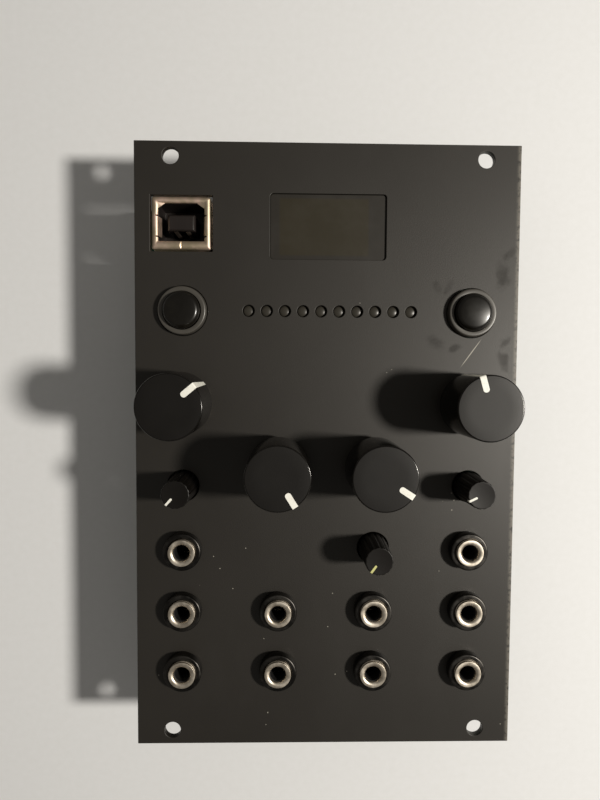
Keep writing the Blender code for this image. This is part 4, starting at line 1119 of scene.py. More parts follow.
def nut_ring(low, high):
    inner = BUSHING_RADIUS + 0.00006
    profile = [(inner, low), (NUT_RADIUS - 0.0001, low), (NUT_RADIUS, low + 0.0001)]
    profile += arc(NUT_RADIUS - NUT_EDGE, high - NUT_EDGE, NUT_EDGE, 0, 90, 5)
    profile += [(inner + 0.0002, high), (inner, high - 0.0002)]
    return smooth(turned("nut", profile, 72, closed=True), 40)


def bore_shade_sleeve(low, high):
    """A black sleeve inside the bushing, set back from its mouth, as painted shade in the bore."""
    inner = BORE_RADIUS - 0.00015
    outer = BORE_RADIUS + 0.00005
    profile = [(inner, low), (outer, low), (outer, high), (inner + 0.0001, high), (inner, high - 0.0001)]
    return smooth(turned("bore_shade", profile, 48, closed=True), 40)

# %% [markdown]
# Behind the panel the bushing ends in a black housing with a slot through which its contact spring shows.
# The spring is one strip: the end face of a thin bar is extruded up, over in a bow and down.

# %% Housing and spring of a patch socket
def socket_housing(low, high):
    """The black box: recessed flanks, a slot for the spring and the bore down its middle."""
    size = high - low
    centre = (low + high) / 2
    housing = block("housing", size, centre)
    edit(housing)
    pick(housing, "FACE", faces_aside)
    bpy.ops.mesh.inset(thickness=0.0011, depth=-0.0004, use_individual=True)
    done()
    soften(housing, 0.00025, 2)
    bore = rod("bore", 0.0022, low.z + 0.001, high.z + OVERRUN, 32, tuple(centre[:2]))
    slot_size = (0.003, size.y / 2 + OVERRUN, 0.005)
    slot = block("slot", slot_size, (centre.x, low.y + size.y / 4, low.z + 0.0038))
    cut(housing, bore, slot)
    return smooth(housing, 35, weigh=True)


def socket_spring(low, high):
    """A strip of contact metal: up through the slot, over in a bow and down to its pin."""
    centre = (low + high) / 2
    spring = block("spring", (0.0018, 0.00025, 0.0046), (centre.x, low.y + 0.0010, low.z + 0.0029))
    edit(spring)
    pick(spring, "FACE", faces_up)
    for step in ((0, 0.0006, 0.0004), (0, 0.0007, 0.0001), (0, 0.0006, -0.0005)):
        pull(step)
    pick(spring, "FACE", lambda face: faces_down(face) and face.calc_center_median().z < low.z + 0.001)
    resize((0.5, 1, 1), (centre.x, low.y + 0.001, low.z))
    done()
    return smooth(soften(spring, 0.00005, 1), 40)

# %% [markdown]
# All five pieces are modelled once, round the origin, and ten copies of each are set down where the nuts are.

# %% Ten patch sockets
def make_jacks():
    _, nut_low, nut_high = middle("jack_nut_1")
    _, low, high = middle("jack_socket_1")
    away = spot_of("jack_socket_1")
    housing = socket_housing(low - away, Vector((high.x, high.y, BEHIND_PANEL)) - away)
    put_family({
        "jack_bushing_": (bushing_ring(BEHIND_PANEL, high.z), nickel, "jack_socket"),
        # the black sleeve is painted shade that darkens the bore
        "jack_bore_shade_": (bore_shade_sleeve(BEHIND_PANEL + 0.0004, high.z - 0.0007), black_plastic, "black_plastic"),
        "jack_nut_ring_": (nut_ring(nut_low.z, nut_high.z), black_nickel, "jack_nut", "jack_nut_"),
        "jack_housing_": (housing, black_plastic, "black_plastic", "jack_socket_"),
        "jack_spring_": (socket_spring(low - away, high - away), nickel, "jack_socket"),
    }, JACKS, "jack_nut_")
    print("sockets:", len(JACKS), "bushings up to", round(high.z - FACE, 4), "over the panel")


make_jacks()

# %% [markdown]
# Each push button is a polished black dome in a satin ring. The place of the highlight in the photograph
# tells the dome's form: almost flat on top, with a tight fillet round its rim, which a round section would
# not give. Its height comes from how far it leans outwards. The ring has a soft outer shoulder.

# %% Push buttons
BUTTON_RING_RADIUS = 0.0051
BUTTON_RING_RISE = 0.0007
BUTTON_RING_TAPER = 0.0001
BUTTON_DOME_RADIUS = 0.00385
BUTTON_DOME_RISE = 0.0009
DOME_FILLET = 0.0011
DOME_CROWN = 0.00022


def ring_collar(low, high):
    inner = BUTTON_DOME_RADIUS + 0.00016
    upper = BUTTON_RING_RADIUS - BUTTON_RING_TAPER
    profile = [(inner, low), (BUTTON_RING_RADIUS, low), (BUTTON_RING_RADIUS, FACE + 0.0003)]
    profile += arc(upper - 0.0003, high - 0.0003, 0.0003, 0, 85, 6)
    profile += arc(inner + 0.0001, high - 0.0001, 0.0001, 90, 180, 3)
    return smooth(turned("collar", profile, 80, closed=True), 45)


def dome_cap(low, high, shoulder):
    """Foot, stem and flange below; above, an upright rim, a tight fillet and a gently crowned top."""
    flange_top = panel_high.z - 0.0023
    profile = [
        (0.0032, low), (0.0032, low + 0.001), (0.0016, low + 0.001), (0.0016, flange_top - 0.0008),
        (0.0049, flange_top - 0.0008), (0.0049, flange_top), (BUTTON_DOME_RADIUS, flange_top),
        (BUTTON_DOME_RADIUS, shoulder),
    ]
    profile += arc(BUTTON_DOME_RADIUS - DOME_FILLET, shoulder, DOME_FILLET, 6, 81, 12)
    edge, level = profile[-1]
    for step in range(1, 8):
        share = 1 - step / 8
        profile.append((edge * share, level + (high - level) * (1 - share ** 2)))
    profile.append((0, high))
    return smooth(turned("dome", profile, 80), 40)


def make_buttons():
    _, ring_low, ring_high = middle("button_ring_left")
    _, cap_low, cap_high = middle("button_cap_left")
    collar = ring_collar(ring_low.z, ring_high.z + BUTTON_RING_RISE)
    top = cap_high.z + BUTTON_DOME_RISE
    dome = dome_cap(cap_low.z, top, top - DOME_FILLET - DOME_CROWN)
    put_family({
        "button_collar_": (collar, ring_satin, "button_ring", "button_ring_"),
        "button_dome_": (dome, dome_gloss, "button_cap", "button_cap_"),
    }, BUTTON_SIDES, "button_ring_", "{}_button")
    print("buttons stand", round(top - FACE, 4), "over the panel")


make_buttons()

# %% [markdown]
# Ten unlit lamps stand in a row of holes. On the real module they are clear domed lamp bodies, which look
# like dark grey beads in dark rings. Each is a turned dome; the bar that carries them lies out of sight
# behind the panel, with a notch between each two lamps.

# %% Indicator lamps
LAMP_RADIUS = 0.00118
LAMP_RISE = 0.00045
LAMP_SINK = 0.0002


def make_lamps():
    size = strip_high - strip_low
    size.z = BEHIND_PANEL - strip_low.z
    bar = block("indicator_bar", size, (strip_centre.x, strip_centre.y, (strip_low.z + BEHIND_PANEL) / 2))
    notches = [
        block("notch", (0.0006, size.y * 2, 0.004), (x + LAMP_PITCH / 2, y, BEHIND_PANEL))
        for x, y in lamp_places[:-1]
    ]
    cut(bar, join(notches))
    smooth(soften(bar, 0.00015, 2), weigh=True)
    show(bar, lamp_bar, "chassis", ["indicator_strip"])
    top = strip_high.z - LAMP_SINK
    flange = LAMP_RADIUS + 0.00012
    profile = [(flange, BEHIND_PANEL - 0.0004), (flange, BEHIND_PANEL)]
    profile += [(LAMP_RADIUS, BEHIND_PANEL), (LAMP_RADIUS, top - LAMP_RISE)]
    for step in range(1, 8):
        turn = step / 8 * pi / 2
        profile.append((LAMP_RADIUS * cos(turn), top - LAMP_RISE * (1 - sin(turn))))
    profile.append((0, top))
    bead = smooth(turned("bead", profile, 28), 40)
    for number, (x, y) in enumerate(lamp_places, 1):
        put(bead, f"indicator_lamp_{number}", (x, y, 0), lamp_lens, "chassis")
    drop(bead)
    print("lamps:", len(lamp_places))


make_lamps()

# %% [markdown]
# The display sits behind the window. It is a sheet of dark glass whose raised pane fills the window, so that
# only a shallow step shows round it, as in the photograph. The pane is joined to the sheet with a boolean,
# and one bevel then rounds both.

# %% Display
PANE_GAP = 0.00004
PANE_RECESS = 0.00045


def make_display():
    centre, low, high = middle("display_glass")
    size = high - low
    size.z = BEHIND_PANEL - low.z
    glass = block("display_pane", size, (centre.x, centre.y, low.z + size.z / 2))
    pane_size = [side - PANE_GAP * 2 for side in WINDOW_SIZE]
    pane = window_block(pane_size, WINDOW_CORNER, low.z + size.z / 2, panel_high.z - PANE_RECESS, "pane")
    modify(glass, "BOOLEAN", operation="UNION", solver="EXACT", object=pane)
    drop(pane)
    smooth(soften(glass, 0.0001, 2), weigh=True)
    show(glass, display_dark, "chassis", ["display_glass"])


make_display()

# %% [markdown]
# The display's small board hangs on a strip of four pins. Such strips are moulded as a chain of cells with
# cut corners, which can be snapped off one by one, so one cell and one pin are modelled and copied.

# %% Pin strip of the display
STRIP_PITCH = 0.00254
STRIP_PINS = 4
STRIP_NOTCH = 0.0004
STRIP_PIN = 0.0006


def make_display_strip():
    centre, low, high = middle("display_header")
    first = centre.x - STRIP_PITCH * (STRIP_PINS - 1) / 2
    places = [(first + STRIP_PITCH * index, centre.y, 0) for index in range(STRIP_PINS)]
    cell = block("cell", (STRIP_PITCH, high.y - low.y, high.z - low.z), (0, 0, centre.z))
    edit(cell)
    pick(cell, "EDGE", lambda side: rise(side) > STRIP_PITCH)
    bpy.ops.mesh.bevel(offset=STRIP_NOTCH, segments=1)
    done()
    cells = smooth(spread(cell, "display_strip", places))
    show(cells, black_plastic, "chassis", ["display_header"])
    pin = block("pin", (STRIP_PIN, STRIP_PIN, high.z - low.z + 0.0026), (0, 0, centre.z + 0.0006))
    show(smooth(spread(soften(pin, 0.00015, 1), "display_pins", places)), gold, "chassis")
    print("strip of", STRIP_PINS, "pins")


make_display_strip()

# %% [markdown]
# The USB socket is folded from one sheet of tinned steel: a box whose front edges roll over into four lips.
# The box's front face is extruded and resized ring by ring along the lip's section, which keeps the mitred
# corners. The section is given in shares of the lip's width and in millimetres from its highest line.

# %% Rings along a section
USB_SIDE, USB_TOP, USB_BOTTOM = 0.0013, 0.0013, 0.0017
USB_SECTION = (
    (0.10, -0.22), (0.22, -0.10), (0.38, -0.02), (0.52, 0.0), (0.66, -0.02), (0.80, -0.09), (0.91, -0.18),
    (1.0, -0.32))


class Rings:
    """Extrudes the selected face of a box into rings that are given as insets from the box's sides."""

    def __init__(self, size, level):
        self.size = size
        self.state = (0.0, 0.0, 0.0, level)

    def step(self, side, top, bottom, level):
        old_side, old_top, old_bottom, old_level = self.state
        across = (self.size.x - side * 2) / (self.size.x - old_side * 2)
        old_low, new_low = old_bottom - self.size.y / 2, bottom - self.size.y / 2
        old_high, new_high = self.size.y / 2 - old_top, self.size.y / 2 - top
        up = (new_high - new_low) / (old_high - old_low)
        fixed = (new_low - up * old_low) / (1 - up) if abs(up - 1) > 0.0001 else 0
        pull((0, 0, level - old_level))
        resize((across, up, 1), (0, fixed, level))
        self.state = (side, top, bottom, level)

# %% [markdown]
# The box's lower corners are round and its upper corners are cut straight, and so are the upper corners of
# the mouth, which keys the plug. Both come from bevels on the box, and the mouth's are then spread wider.

# %% Box of the USB socket
USB_CORNER = 0.0003
USB_KEY = (0.0015, 0.0011)
AT_LEVEL = 0.00001


def usb_box(size, middle_z):
    """The outer box, its lower corners round and its upper corners cut straight."""
    shell = block("usb_folded_shell", size, (0, 0, middle_z))
    edit(shell)
    for corner_y, steps, profile in ((-1, 4, 0.5), (1, 3, 0.25)):
        pick(shell, "EDGE", lambda side: rise(side) > size.z / 2
             and side.verts[0].co.y * corner_y > size.y * 0.49)
        bpy.ops.mesh.bevel(offset=USB_CORNER, segments=steps, profile=profile)
    pick(shell, "FACE", faces_up)
    return shell


def spread_key(shell, size, level):
    """Moves the points of the mouth's two upper corners apart, which cuts the corners off."""
    mouth_x, mouth_y = size.x / 2 - USB_SIDE, size.y / 2 - USB_TOP
    share_x = USB_KEY[0] / (USB_CORNER * mouth_x / (size.x / 2))
    share_y = USB_KEY[1] / (USB_CORNER * (mouth_y * 2) / size.y)
    for side in (-1, 1):
        pick(shell, "VERT", lambda vert: abs(vert.co.z - level) < AT_LEVEL
             and vert.co.x * side > mouth_x * 0.9 and vert.co.y > mouth_y * 0.9)
        resize((share_x, share_y, 1), (side * mouth_x, mouth_y, level))

# %% [markdown]
# Slits free a springy tab in each side lip, which grips the plug. A tab is a line that is extruded along its
# route: under the lip, down its slope and into the mouth.

# %% Springy tabs of the USB socket
USB_TAB_ROUTE = (
    (0.0008, -0.00005), (0.0010, -0.00015), (0.00114, -0.0003), (0.0013, -0.0006), (0.0015, -0.0012),
    (0.0017, -0.0024))
USB_TAB_LENGTH = 0.0040
USB_TAB_Y = -0.0006
USB_TAB_SHEET = 0.00025


def usb_tab(side, size, top):
    """A springy tab: a strip that starts under the lip, goes on down its slope and turns into the mouth."""
    length = USB_TAB_LENGTH
    (start, level), route = USB_TAB_ROUTE[0], USB_TAB_ROUTE[1:]
    outside = side * size.x / 2
    nothing_selected()
    bpy.ops.mesh.primitive_plane_add(size=length, location=(outside - side * start, USB_TAB_Y, top + level))
    tab = named("tab")
    edit(tab)
    resize((0, 1, 1), (outside - side * start, USB_TAB_Y, 0))
    bpy.ops.mesh.select_all(action="SELECT")
    bpy.ops.mesh.remove_doubles(threshold=AT_LEVEL)
    pick(tab, "EDGE", lambda edge: True)
    for inset, drop_to in route:
        pull_edges((-side * (inset - start), 0, drop_to - level))
        start, level = inset, drop_to
    return wall(tab, USB_TAB_SHEET)

# %% [markdown]
# The lip's rings are followed by three more, which give the sheet its thickness and hollow the box. The seam
# where the sheet's two ends meet is cut into the lower lip, and the slits are cut beside the tabs.

# %% USB socket shell
USB_SHEET = 0.0003
USB_EDGE_DROP = 0.0004
USB_SEAM = 0.0005
USB_SLIT = (0.0010, 0.0003, 0.003)


def make_usb_shell():
    centre, low, high = middle("usb_shell")
    size = high - low
    box_size = Vector((size.x, size.y, size.z - USB_EDGE_DROP))
    shell = usb_box(box_size, low.z + box_size.z / 2)
    rings = Rings(size, high.z - USB_EDGE_DROP)
    for reach, drop_mm in USB_SECTION:
        rings.step(USB_SIDE * reach, USB_TOP * reach, USB_BOTTOM * reach, high.z + drop_mm / 1000)
    lip = rings.state[3]
    spread_key(shell, size, lip)
    pick(shell, "FACE", lambda face: faces_up(face) and abs(face.calc_center_median().z - lip) < AT_LEVEL)
    rings.step(USB_SIDE, USB_TOP, USB_BOTTOM, lip - USB_SHEET)
    rings.step(USB_SHEET, USB_SHEET, USB_SHEET, lip - USB_SHEET - 0.0001)
    rings.step(USB_SHEET, USB_SHEET, USB_SHEET, low.z + USB_SHEET)
    done()
    seam = block("seam", (USB_SEAM, USB_BOTTOM * 0.8, USB_SEAM))
    seam.matrix_world = Matrix.Translation((0, -size.y / 2 + USB_BOTTOM * 0.55, high.z)) @ (
        Matrix.Diagonal((1, 1, 0.5, 1)) @ Matrix.Rotation(pi / 4, 4, "Y"))
    slits = []
    for side in (-1, 1):
        for end in (-1, 1):
            y = USB_TAB_Y + end * (USB_TAB_LENGTH / 2 + 0.00015)
            slits.append(block("slit", USB_SLIT, (side * (size.x / 2 - USB_SIDE), y, high.z)))
    cut(shell, seam, join(slits))
    smooth(soften(shell, 0.00004, 1, 40), 40, weigh=True)
    spot = (centre.x, centre.y, 0)
    show(settle(shell, spot), tin_plate, "chassis", ["usb_shell"])
    tabs = join([usb_tab(side, size, high.z) for side in (-1, 1)], "usb_side_tabs")
    show(settle(smooth(tabs, 50), spot), tin_plate, "chassis")
    print("USB shell", [round(side * 1000, 1) for side in size], "mm")


make_usb_shell()

# %% [markdown]
# Inside the shell a black moulding lines the walls and carries the tongue that the plug closes round, with
# two contacts on its upper side and two on its lower side. A block is inset and hollowed, the tongue is
# extruded out of its floor, and grooves are cut for the contacts, which are bent strips of plated bronze.

# %% USB socket insert
TONGUE_SIZE = (0.0057, 0.0034)
TONGUE_SHIFT = (-0.0001, 0.00025)
TONGUE_REACH = 0.0006
TONGUE_TIP = 0.0004
CONTACT_PITCH = 0.0025
CONTACT_WIDTH = 0.0009
CONTACT_SHEET = 0.00025
LINING = 0.0005


def make_usb_insert():
    centre, low, high = middle("usb_insert")
    size = high - low
    floor, top = low.z + 0.0025, high.z + TONGUE_REACH
    across, up = TONGUE_SHIFT
    body = block("usb_tongue_body", size, (0, 0, (low.z + high.z) / 2))
    edit(body)
    pick(body, "FACE", faces_up)
    bpy.ops.mesh.inset(thickness=LINING, depth=0)
    pull((0, 0, floor - high.z))
    pull((across, up, 0))
    share = (TONGUE_SIZE[0] / (size.x - LINING * 2), TONGUE_SIZE[1] / (size.y - LINING * 2), 1)
    resize(share, (across, up, floor))
    pull((0, 0, top - floor - TONGUE_TIP))
    pull((0, 0, TONGUE_TIP))
    resize((0.87, 0.80, 1), (across, up, top))
    done()
    grooves, contacts = [], []
    length = top - floor
    for side in (-1, 1):
        for end in (-1, 1):
            x, y = across + end * CONTACT_PITCH / 2, up + side * TONGUE_SIZE[1] / 2
            groove_size = (CONTACT_WIDTH + 0.0001, CONTACT_SHEET * 2, length)
            grooves.append(block("groove", groove_size, (x, y, top - TONGUE_TIP - length / 2)))
            contact_size = (CONTACT_WIDTH, CONTACT_SHEET, length - TONGUE_TIP * 4)
            contact = block("contact", contact_size, (x, y, top - length / 2))
            edit(contact)
            pick(contact, "FACE", faces_up)
            pull((0, -side * CONTACT_SHEET, 0.0003))
            done()
            contacts.append(soften(contact, 0.00006, 1))
    cut(body, join(grooves))
    smooth(soften(body, 0.0001, 2, 25), 35, weigh=True)
    show(settle(body, (centre.x, centre.y, 0)), tongue_black, "chassis", ["usb_insert"])
    strips = smooth(join(contacts, "usb_contacts"), 40)
    show(settle(strips, (centre.x, centre.y, 0)), bronze, "chassis")
    print("tongue ends", round((FACE - top) * 1000, 2), "mm under the face")


make_usb_insert()

# %% [markdown]
# Under each large knob sits a pot: a folded steel can on a brown phenolic wafer, a threaded bushing through
# the panel and a hexagon nut that clamps the panel. Nothing of this shows from the front, but it does from
# the side, so each part has its own simple shape. The steel shafts stay as the construction nodes they are.

# %% Can and wafer of a pot
WAFER_HEIGHT = 0.0016
WAFER_INSET = 0.0008
EAR_SIZE = (0.0005, 0.0016, 0.0018)


def pot_can(low, high):
    size = high - low
    size.z -= WAFER_HEIGHT
    can = block("can", size, (0, 0, high.z - size.z / 2))
    soften(can, 0.0006, 3)
    edit(can)
    pick(can, "FACE", lambda face: face.normal.z > 0.99 and face.calc_area() > size.x * size.y / 2)
    bpy.ops.mesh.inset(thickness=0.0006, depth=-0.00015)
    done()
    ears = []
    for across in (-1, 1):
        for up in (-1, 1):
            spot = (across * size.x * 0.5, up * size.y * 0.28, high.z - size.z - 0.0004)
            ears.append(soften(block("ear", EAR_SIZE, spot), 0.0001, 1))
    return smooth(join([can, *ears]), 35, weigh=True)


def pot_wafer(low, high):
    size = high - low
    wafer_size = (size.x - WAFER_INSET, size.y - WAFER_INSET, WAFER_HEIGHT)
    wafer = block("wafer", wafer_size, (0, 0, low.z + WAFER_HEIGHT / 2))
    edit(wafer)
    pick(wafer, "FACE", lambda face: face.normal.y < -0.9)
    pull((0, -0.0004, 0))
    done()
    return smooth(soften(wafer, 0.0002, 1))

# %% [markdown]
# The bushing's thread is drawn as rings again, and the nut is a rod with six sides. Three tinned pins stand
# at the wafer's lower edge.

# %% Bushing, nut and pins of a pot
POT_BUSHING = 0.0034
POT_BORE = 0.00308
POT_THREAD_DEPTH = 0.00016
POT_NUT_FLATS = 0.0100
PIN_SPREAD = 0.0025


def pot_bushing(low, top):
    profile = [(POT_BORE, low), (POT_BUSHING - 0.0002, low)]
    root = POT_BUSHING - POT_THREAD_DEPTH
    level = low + THREAD_PITCH
    while level < top - THREAD_PITCH:
        profile += [(root, level - 0.00018), (POT_BUSHING, level), (root, level + 0.00018)]
        level += THREAD_PITCH
    profile += [(POT_BUSHING - 0.0002, top), (POT_BORE + 0.00012, top), (POT_BORE, top - 0.00012)]
    return smooth(turned("bushing", profile, 40, closed=True), 35)


def hexagon_nut(low, high):
    nut = rod("hexagon", POT_NUT_FLATS / 2 / cos(pi / 6), low, high, 6)
    soften(nut, 0.00025, 2)
    cut(nut, rod("bore", POT_BUSHING + 0.00005, low - OVERRUN, high + OVERRUN, 40))
    return smooth(nut, 30, weigh=True)


def pot_pins(low, size_y):
    pin = soften(block("pin", (0.0009, 0.0004, 0.0030), (0, 0, low.z - 0.0004)), 0.0001, 1)
    return spread(pin, "pot_pin_set", [(PIN_SPREAD * i, -size_y / 2 - 0.0001, 0) for i in (-1, 0, 1)])

# %% [markdown]
# The parts of one pot are modelled round the origin, and four copies of each are set down under the knobs.
# The can's width is given on its own, because the node's box is as wide as its nut.

# %% Four pots
POT_WIDTH = 0.0098


def make_pots():
    _, low, high = middle("pot_body_upper_left")
    half = Vector((POT_WIDTH / 2, (high.y - low.y) / 2, 0))
    box_low, box_high = Vector((-half.x, -half.y, low.z)), Vector((half.x, half.y, BEHIND_PANEL))
    put_family({
        "pot_can_": (pot_can(box_low, box_high), pot_steel, "pot_metal", "pot_body_"),
        "pot_wafer_": (pot_wafer(box_low, box_high), phenolic, "black_plastic"),
        "pot_bushing_": (pot_bushing(BEHIND_PANEL, high.z), pot_steel, "pot_metal"),
        "pot_nut_": (hexagon_nut(FACE + 0.0003, FACE + 0.0023), pot_steel, "pot_metal"),
        "pot_pins_": (pot_pins(low, half.y * 2), solder, "pot_metal"),
    }, KNOB_SIDES, "pot_body_")
    print("pots:", len(KNOB_SIDES))


make_pots()

# %% [markdown]
# The small pots are sealed black boxes with a round collar, through which the small knob's pivot passes. The
# box's upper face is inset and sunk, and a bore is cut.

# %% Small pots
def small_pot(low, high):
    size = high - low
    case = block("case", size, (0, 0, (low.z + high.z) / 2))
    edit(case)
    pick(case, "FACE", faces_up)
    bpy.ops.mesh.inset(thickness=0.0007, depth=0)
    pull((0, 0, -0.0003))
    done()
    soften(case, 0.00025, 2)
    top = high.z - 0.0003
    collar = [
        (0.0025, top - 0.0005), (0.0037, top - 0.0005), (0.0037, top + 0.0001), (0.0035, top + 0.0003),
        (0.0027, top + 0.0003), (0.0025, top + 0.0001)]
    cut(case, rod("bore", 0.0024, low.z + 0.0017, high.z + OVERRUN, 32))
    return smooth(join([case, turned("collar", collar, 40, closed=True)]), 35)


def make_small_pots():
    _, low, high = middle("trimmer_body_left")
    away = spot_of("trimmer_body_left")
    case = small_pot(low - away, high - away)
    put_family({
        "trimmer_case_": (case, black_plastic, "black_plastic", "trimmer_body_"),
    }, TRIMMER_SIDES, "trimmer_body_")
    print("small pots:", len(TRIMMER_SIDES))


make_small_pots()

# %% [markdown]
# The buttons press square tact switches: a black base with a well for the plunger, and a tinned cover with a
# round opening that is held by four rivets.

# %% Switches
SWITCH_WELL = 0.0036
COVER_SHEET = 0.0005


def switch_base(low, high):
    size = high - low
    size.z -= COVER_SHEET
    base = block("base", size, (0, 0, low.z + size.z / 2))
    edit(base)
    pick(base, "FACE", faces_aside)
    bpy.ops.mesh.inset(thickness=0.0012, depth=-0.0003, use_individual=True)
    done()
    soften(base, 0.0005, 3)
    cut(base, rod("well", SWITCH_WELL, high.z - 0.0026, high.z + OVERRUN, 40))
    return smooth(base, 35, weigh=True)


def switch_cover(size, top):
    cover_size = (size.x - 0.0004, size.y - 0.0004, COVER_SHEET)
    cover = soften(block("cover", cover_size, (0, 0, top - COVER_SHEET / 2)), 0.00012, 2)
    cut(cover, rod("opening", SWITCH_WELL, top - OVERRUN, top + OVERRUN, 40))
    profile = [(0.0008, top - 0.0001), (0.0008, top + 0.00005), (0.0006, top + 0.00018), (0, top + 0.0002)]
    rivet = turned("rivet", profile, 16)
    corner = size.x / 2 - 0.0018
    places = [(x, y, 0) for x in (-corner, corner) for y in (-corner, corner)]
    return smooth(join([cover, spread(rivet, "rivet_set", places)]), 40)


def make_switches():
    _, low, high = middle("button_switch_left")
    away = spot_of("button_switch_left")
    base, cover = switch_base(low - away, high - away), switch_cover(high - low, high.z - 0.0002)
    put_family({
        "switch_base_": (base, black_plastic, "black_plastic", "button_switch_"),
        "switch_cover_": (cover, solder, "pot_metal"),
    }, BUTTON_SIDES, "button_switch_")
    print("switches:", len(BUTTON_SIDES))


make_switches()

# %% [markdown]
# The power header is a box with a keyed slot and sixteen gilded pins in two rows. The box is hollowed by
# insetting its lower face and pushing that face in; the key slot is cut; one pin is copied sixteen times.

# %% Power header
HEADER_WALL = 0.0012
HEADER_DEPTH = 0.0065
KEY_SLOT = 0.0045
HEADER_PIN = 0.00064
HEADER_COLUMNS = 8


def make_power_header():
    centre, low, high = middle("power_header")
    size = high - low
    shroud = block("power_shroud", size, centre)
    edit(shroud)
    pick(shroud, "FACE", faces_down)
    bpy.ops.mesh.inset(thickness=HEADER_WALL, depth=0)
    pull((0, 0, HEADER_DEPTH))
    done()
    key_size = (KEY_SLOT, HEADER_WALL * 3, HEADER_DEPTH)
    cut(shroud, block("key", key_size, (centre.x, low.y, low.z + HEADER_DEPTH / 2)))
    smooth(soften(shroud, 0.00015, 2), weigh=True)
    show(shroud, black_plastic, "chassis", ["power_header"])
    pin = block("pin", (HEADER_PIN, HEADER_PIN, 0.0085), (0, 0, low.z + 0.0055))
    edit(pin)
    pick(pin, "FACE", faces_down)
    pull((0, 0, -0.0004))
    resize((0.5, 0.5, 1), (0, 0, low.z))
    done()
    places = [
        (centre.x + STRIP_PITCH * (index - (HEADER_COLUMNS - 1) / 2), centre.y + row * STRIP_PITCH / 2, 0)
        for index in range(HEADER_COLUMNS) for row in (-1, 1)
    ]
    show(smooth(spread(pin, "power_pins", places)), gold, "chassis")
    print("header pins:", len(places))


make_power_header()

# %% [markdown]
# The chips on the back are moulded black bodies with bent tin legs. A leg is a flat bar that is extruded
# out, down and out again. A round dimple marks the first leg, and nothing is printed on any of them.

# %% Body and leg of a chip
MARK_RADIUS = 0.0005
LEG_SHEET = 0.0002
LEG_LIFT = 0.0001


def chip_leg(width, inner, reach, level, foot):
    """A gull-wing leg that leaves the body along +Y and ends flat on the board above it."""
    leg = block("leg", (width, LEG_SHEET * 2, LEG_SHEET), (0, inner, level))
    edit(leg)
    pick(leg, "FACE", lambda face: face.normal.y > 0.9)
    for step in ((0, reach * 0.3, 0), (0, reach * 0.2, foot - level), (0, reach * 0.5, 0)):
        pull(step)
    face_outwards()
    done()
    return leg


def chip_body(name, size, low, high, dimple=MARK_RADIUS):
    body = block(name, (size[0], size[1], high - low), (0, 0, (low + high) / 2))
    edit(body)
    pick(body, "EDGE", lambda side: rise(side) < 0.0001)
    bpy.ops.mesh.bevel(offset=0.0002, segments=2)
    done()
    corner = (-size[0] / 2 + dimple * 2.2, size[1] / 2 - dimple * 2.2)
    mark = rod("mark", dimple, low - 0.0005, low + 0.00006, 20, corner)
    return smooth(cut(body, mark), 30, weigh=True)

# %% [markdown]
# One leg is copied along each side of the chip, and the rows are joined into one piece. The processor has
# legs on all four sides, the audio chip on two.

# %% Processor and audio chip
def make_chip(name, node, size, sides, legs, pitch):
    _, low, high = middle(node)
    spot, foot = spot_of(node), high.z - LEG_LIFT
    body = chip_body(name + "_moulding", size, low.z, foot)
    show(settle(body, spot), chip_black, "chassis", [node])
    rows = []
    for turn in sides:
        depth = size[1] if turn % 180 == 0 else size[0]
        leg = chip_leg(pitch * 0.42, depth / 2 - LEG_SHEET, 0.0010, (low.z + high.z) / 2, foot)
        row = spread(leg, "leg_row", [(pitch * (index - (legs - 1) / 2), 0, 0) for index in range(legs)])
        rows.append(settle(row, turn=radians(turn)))
    legs_piece = smooth(join(rows, name + "_legs"))
    show(settle(legs_piece, spot), solder, "chassis")
    print(name, "has", legs * len(sides), "legs")


make_chip("processor", "processor", (0.0092, 0.0092), (0, 90, 180, 270), 11, 0.0008)
make_chip("audio", "audio_chip", (0.0042, 0.0100), (90, 270), 8, 0.00127)

# %% [markdown]
# The voltage regulator is the same idea with three legs on one side and a metal tab on the other, which
# carries its heat into the board. The tab has a round notch in its edge.

# %% Voltage regulator
TAB_SIZE = (0.0052, 0.0060, 0.0005)
REGULATOR_SIZE = (0.0064, 0.0060)
REGULATOR_BACK = 0.0027
REGULATOR_LEGS = (-0.0023, 0, 0.0023)


def make_regulator():
    centre, low, high = middle("regulator")
    tab_y, foot = high.y - TAB_SIZE[1] / 2, high.z - LEG_LIFT
    y = tab_y - REGULATOR_BACK
    moulding = chip_body("regulator_moulding", REGULATOR_SIZE, low.z, foot, 0.0004)
    show(settle(moulding, (centre.x, y, 0)), chip_black, "chassis", ["regulator"])
    tab = block("regulator_tab", TAB_SIZE, (centre.x, tab_y, high.z - TAB_SIZE[2] / 2))
    cut(tab, rod("notch", 0.0008, high.z - OVERRUN, high.z + OVERRUN, 24, (centre.x, high.y)))
    legs = [
        settle(chip_leg(0.0008, 0.0028, 0.0015, high.z - 0.0009, foot), (centre.x + x, y, 0), pi)
        for x in REGULATOR_LEGS
    ]
    show(smooth(join([soften(tab, 0.00008, 1), *legs])), solder, "chassis")
    print("regulator with", len(legs), "legs")


make_regulator()

# %% [markdown]
# Two aluminium electrolytic capacitors stand on black bases with two cut corners. The can is turned from its
# section with the groove near its foot, and its finish paints the dark segment that marks one pole.

# %% Capacitors
CAN_RADIUS = 0.0040
CAN_GROOVE = 0.0004
MARK_FROM_MIDDLE = 0.0019
FOOT_HEIGHT = 0.0012
FOOT_CORNER = 0.0016


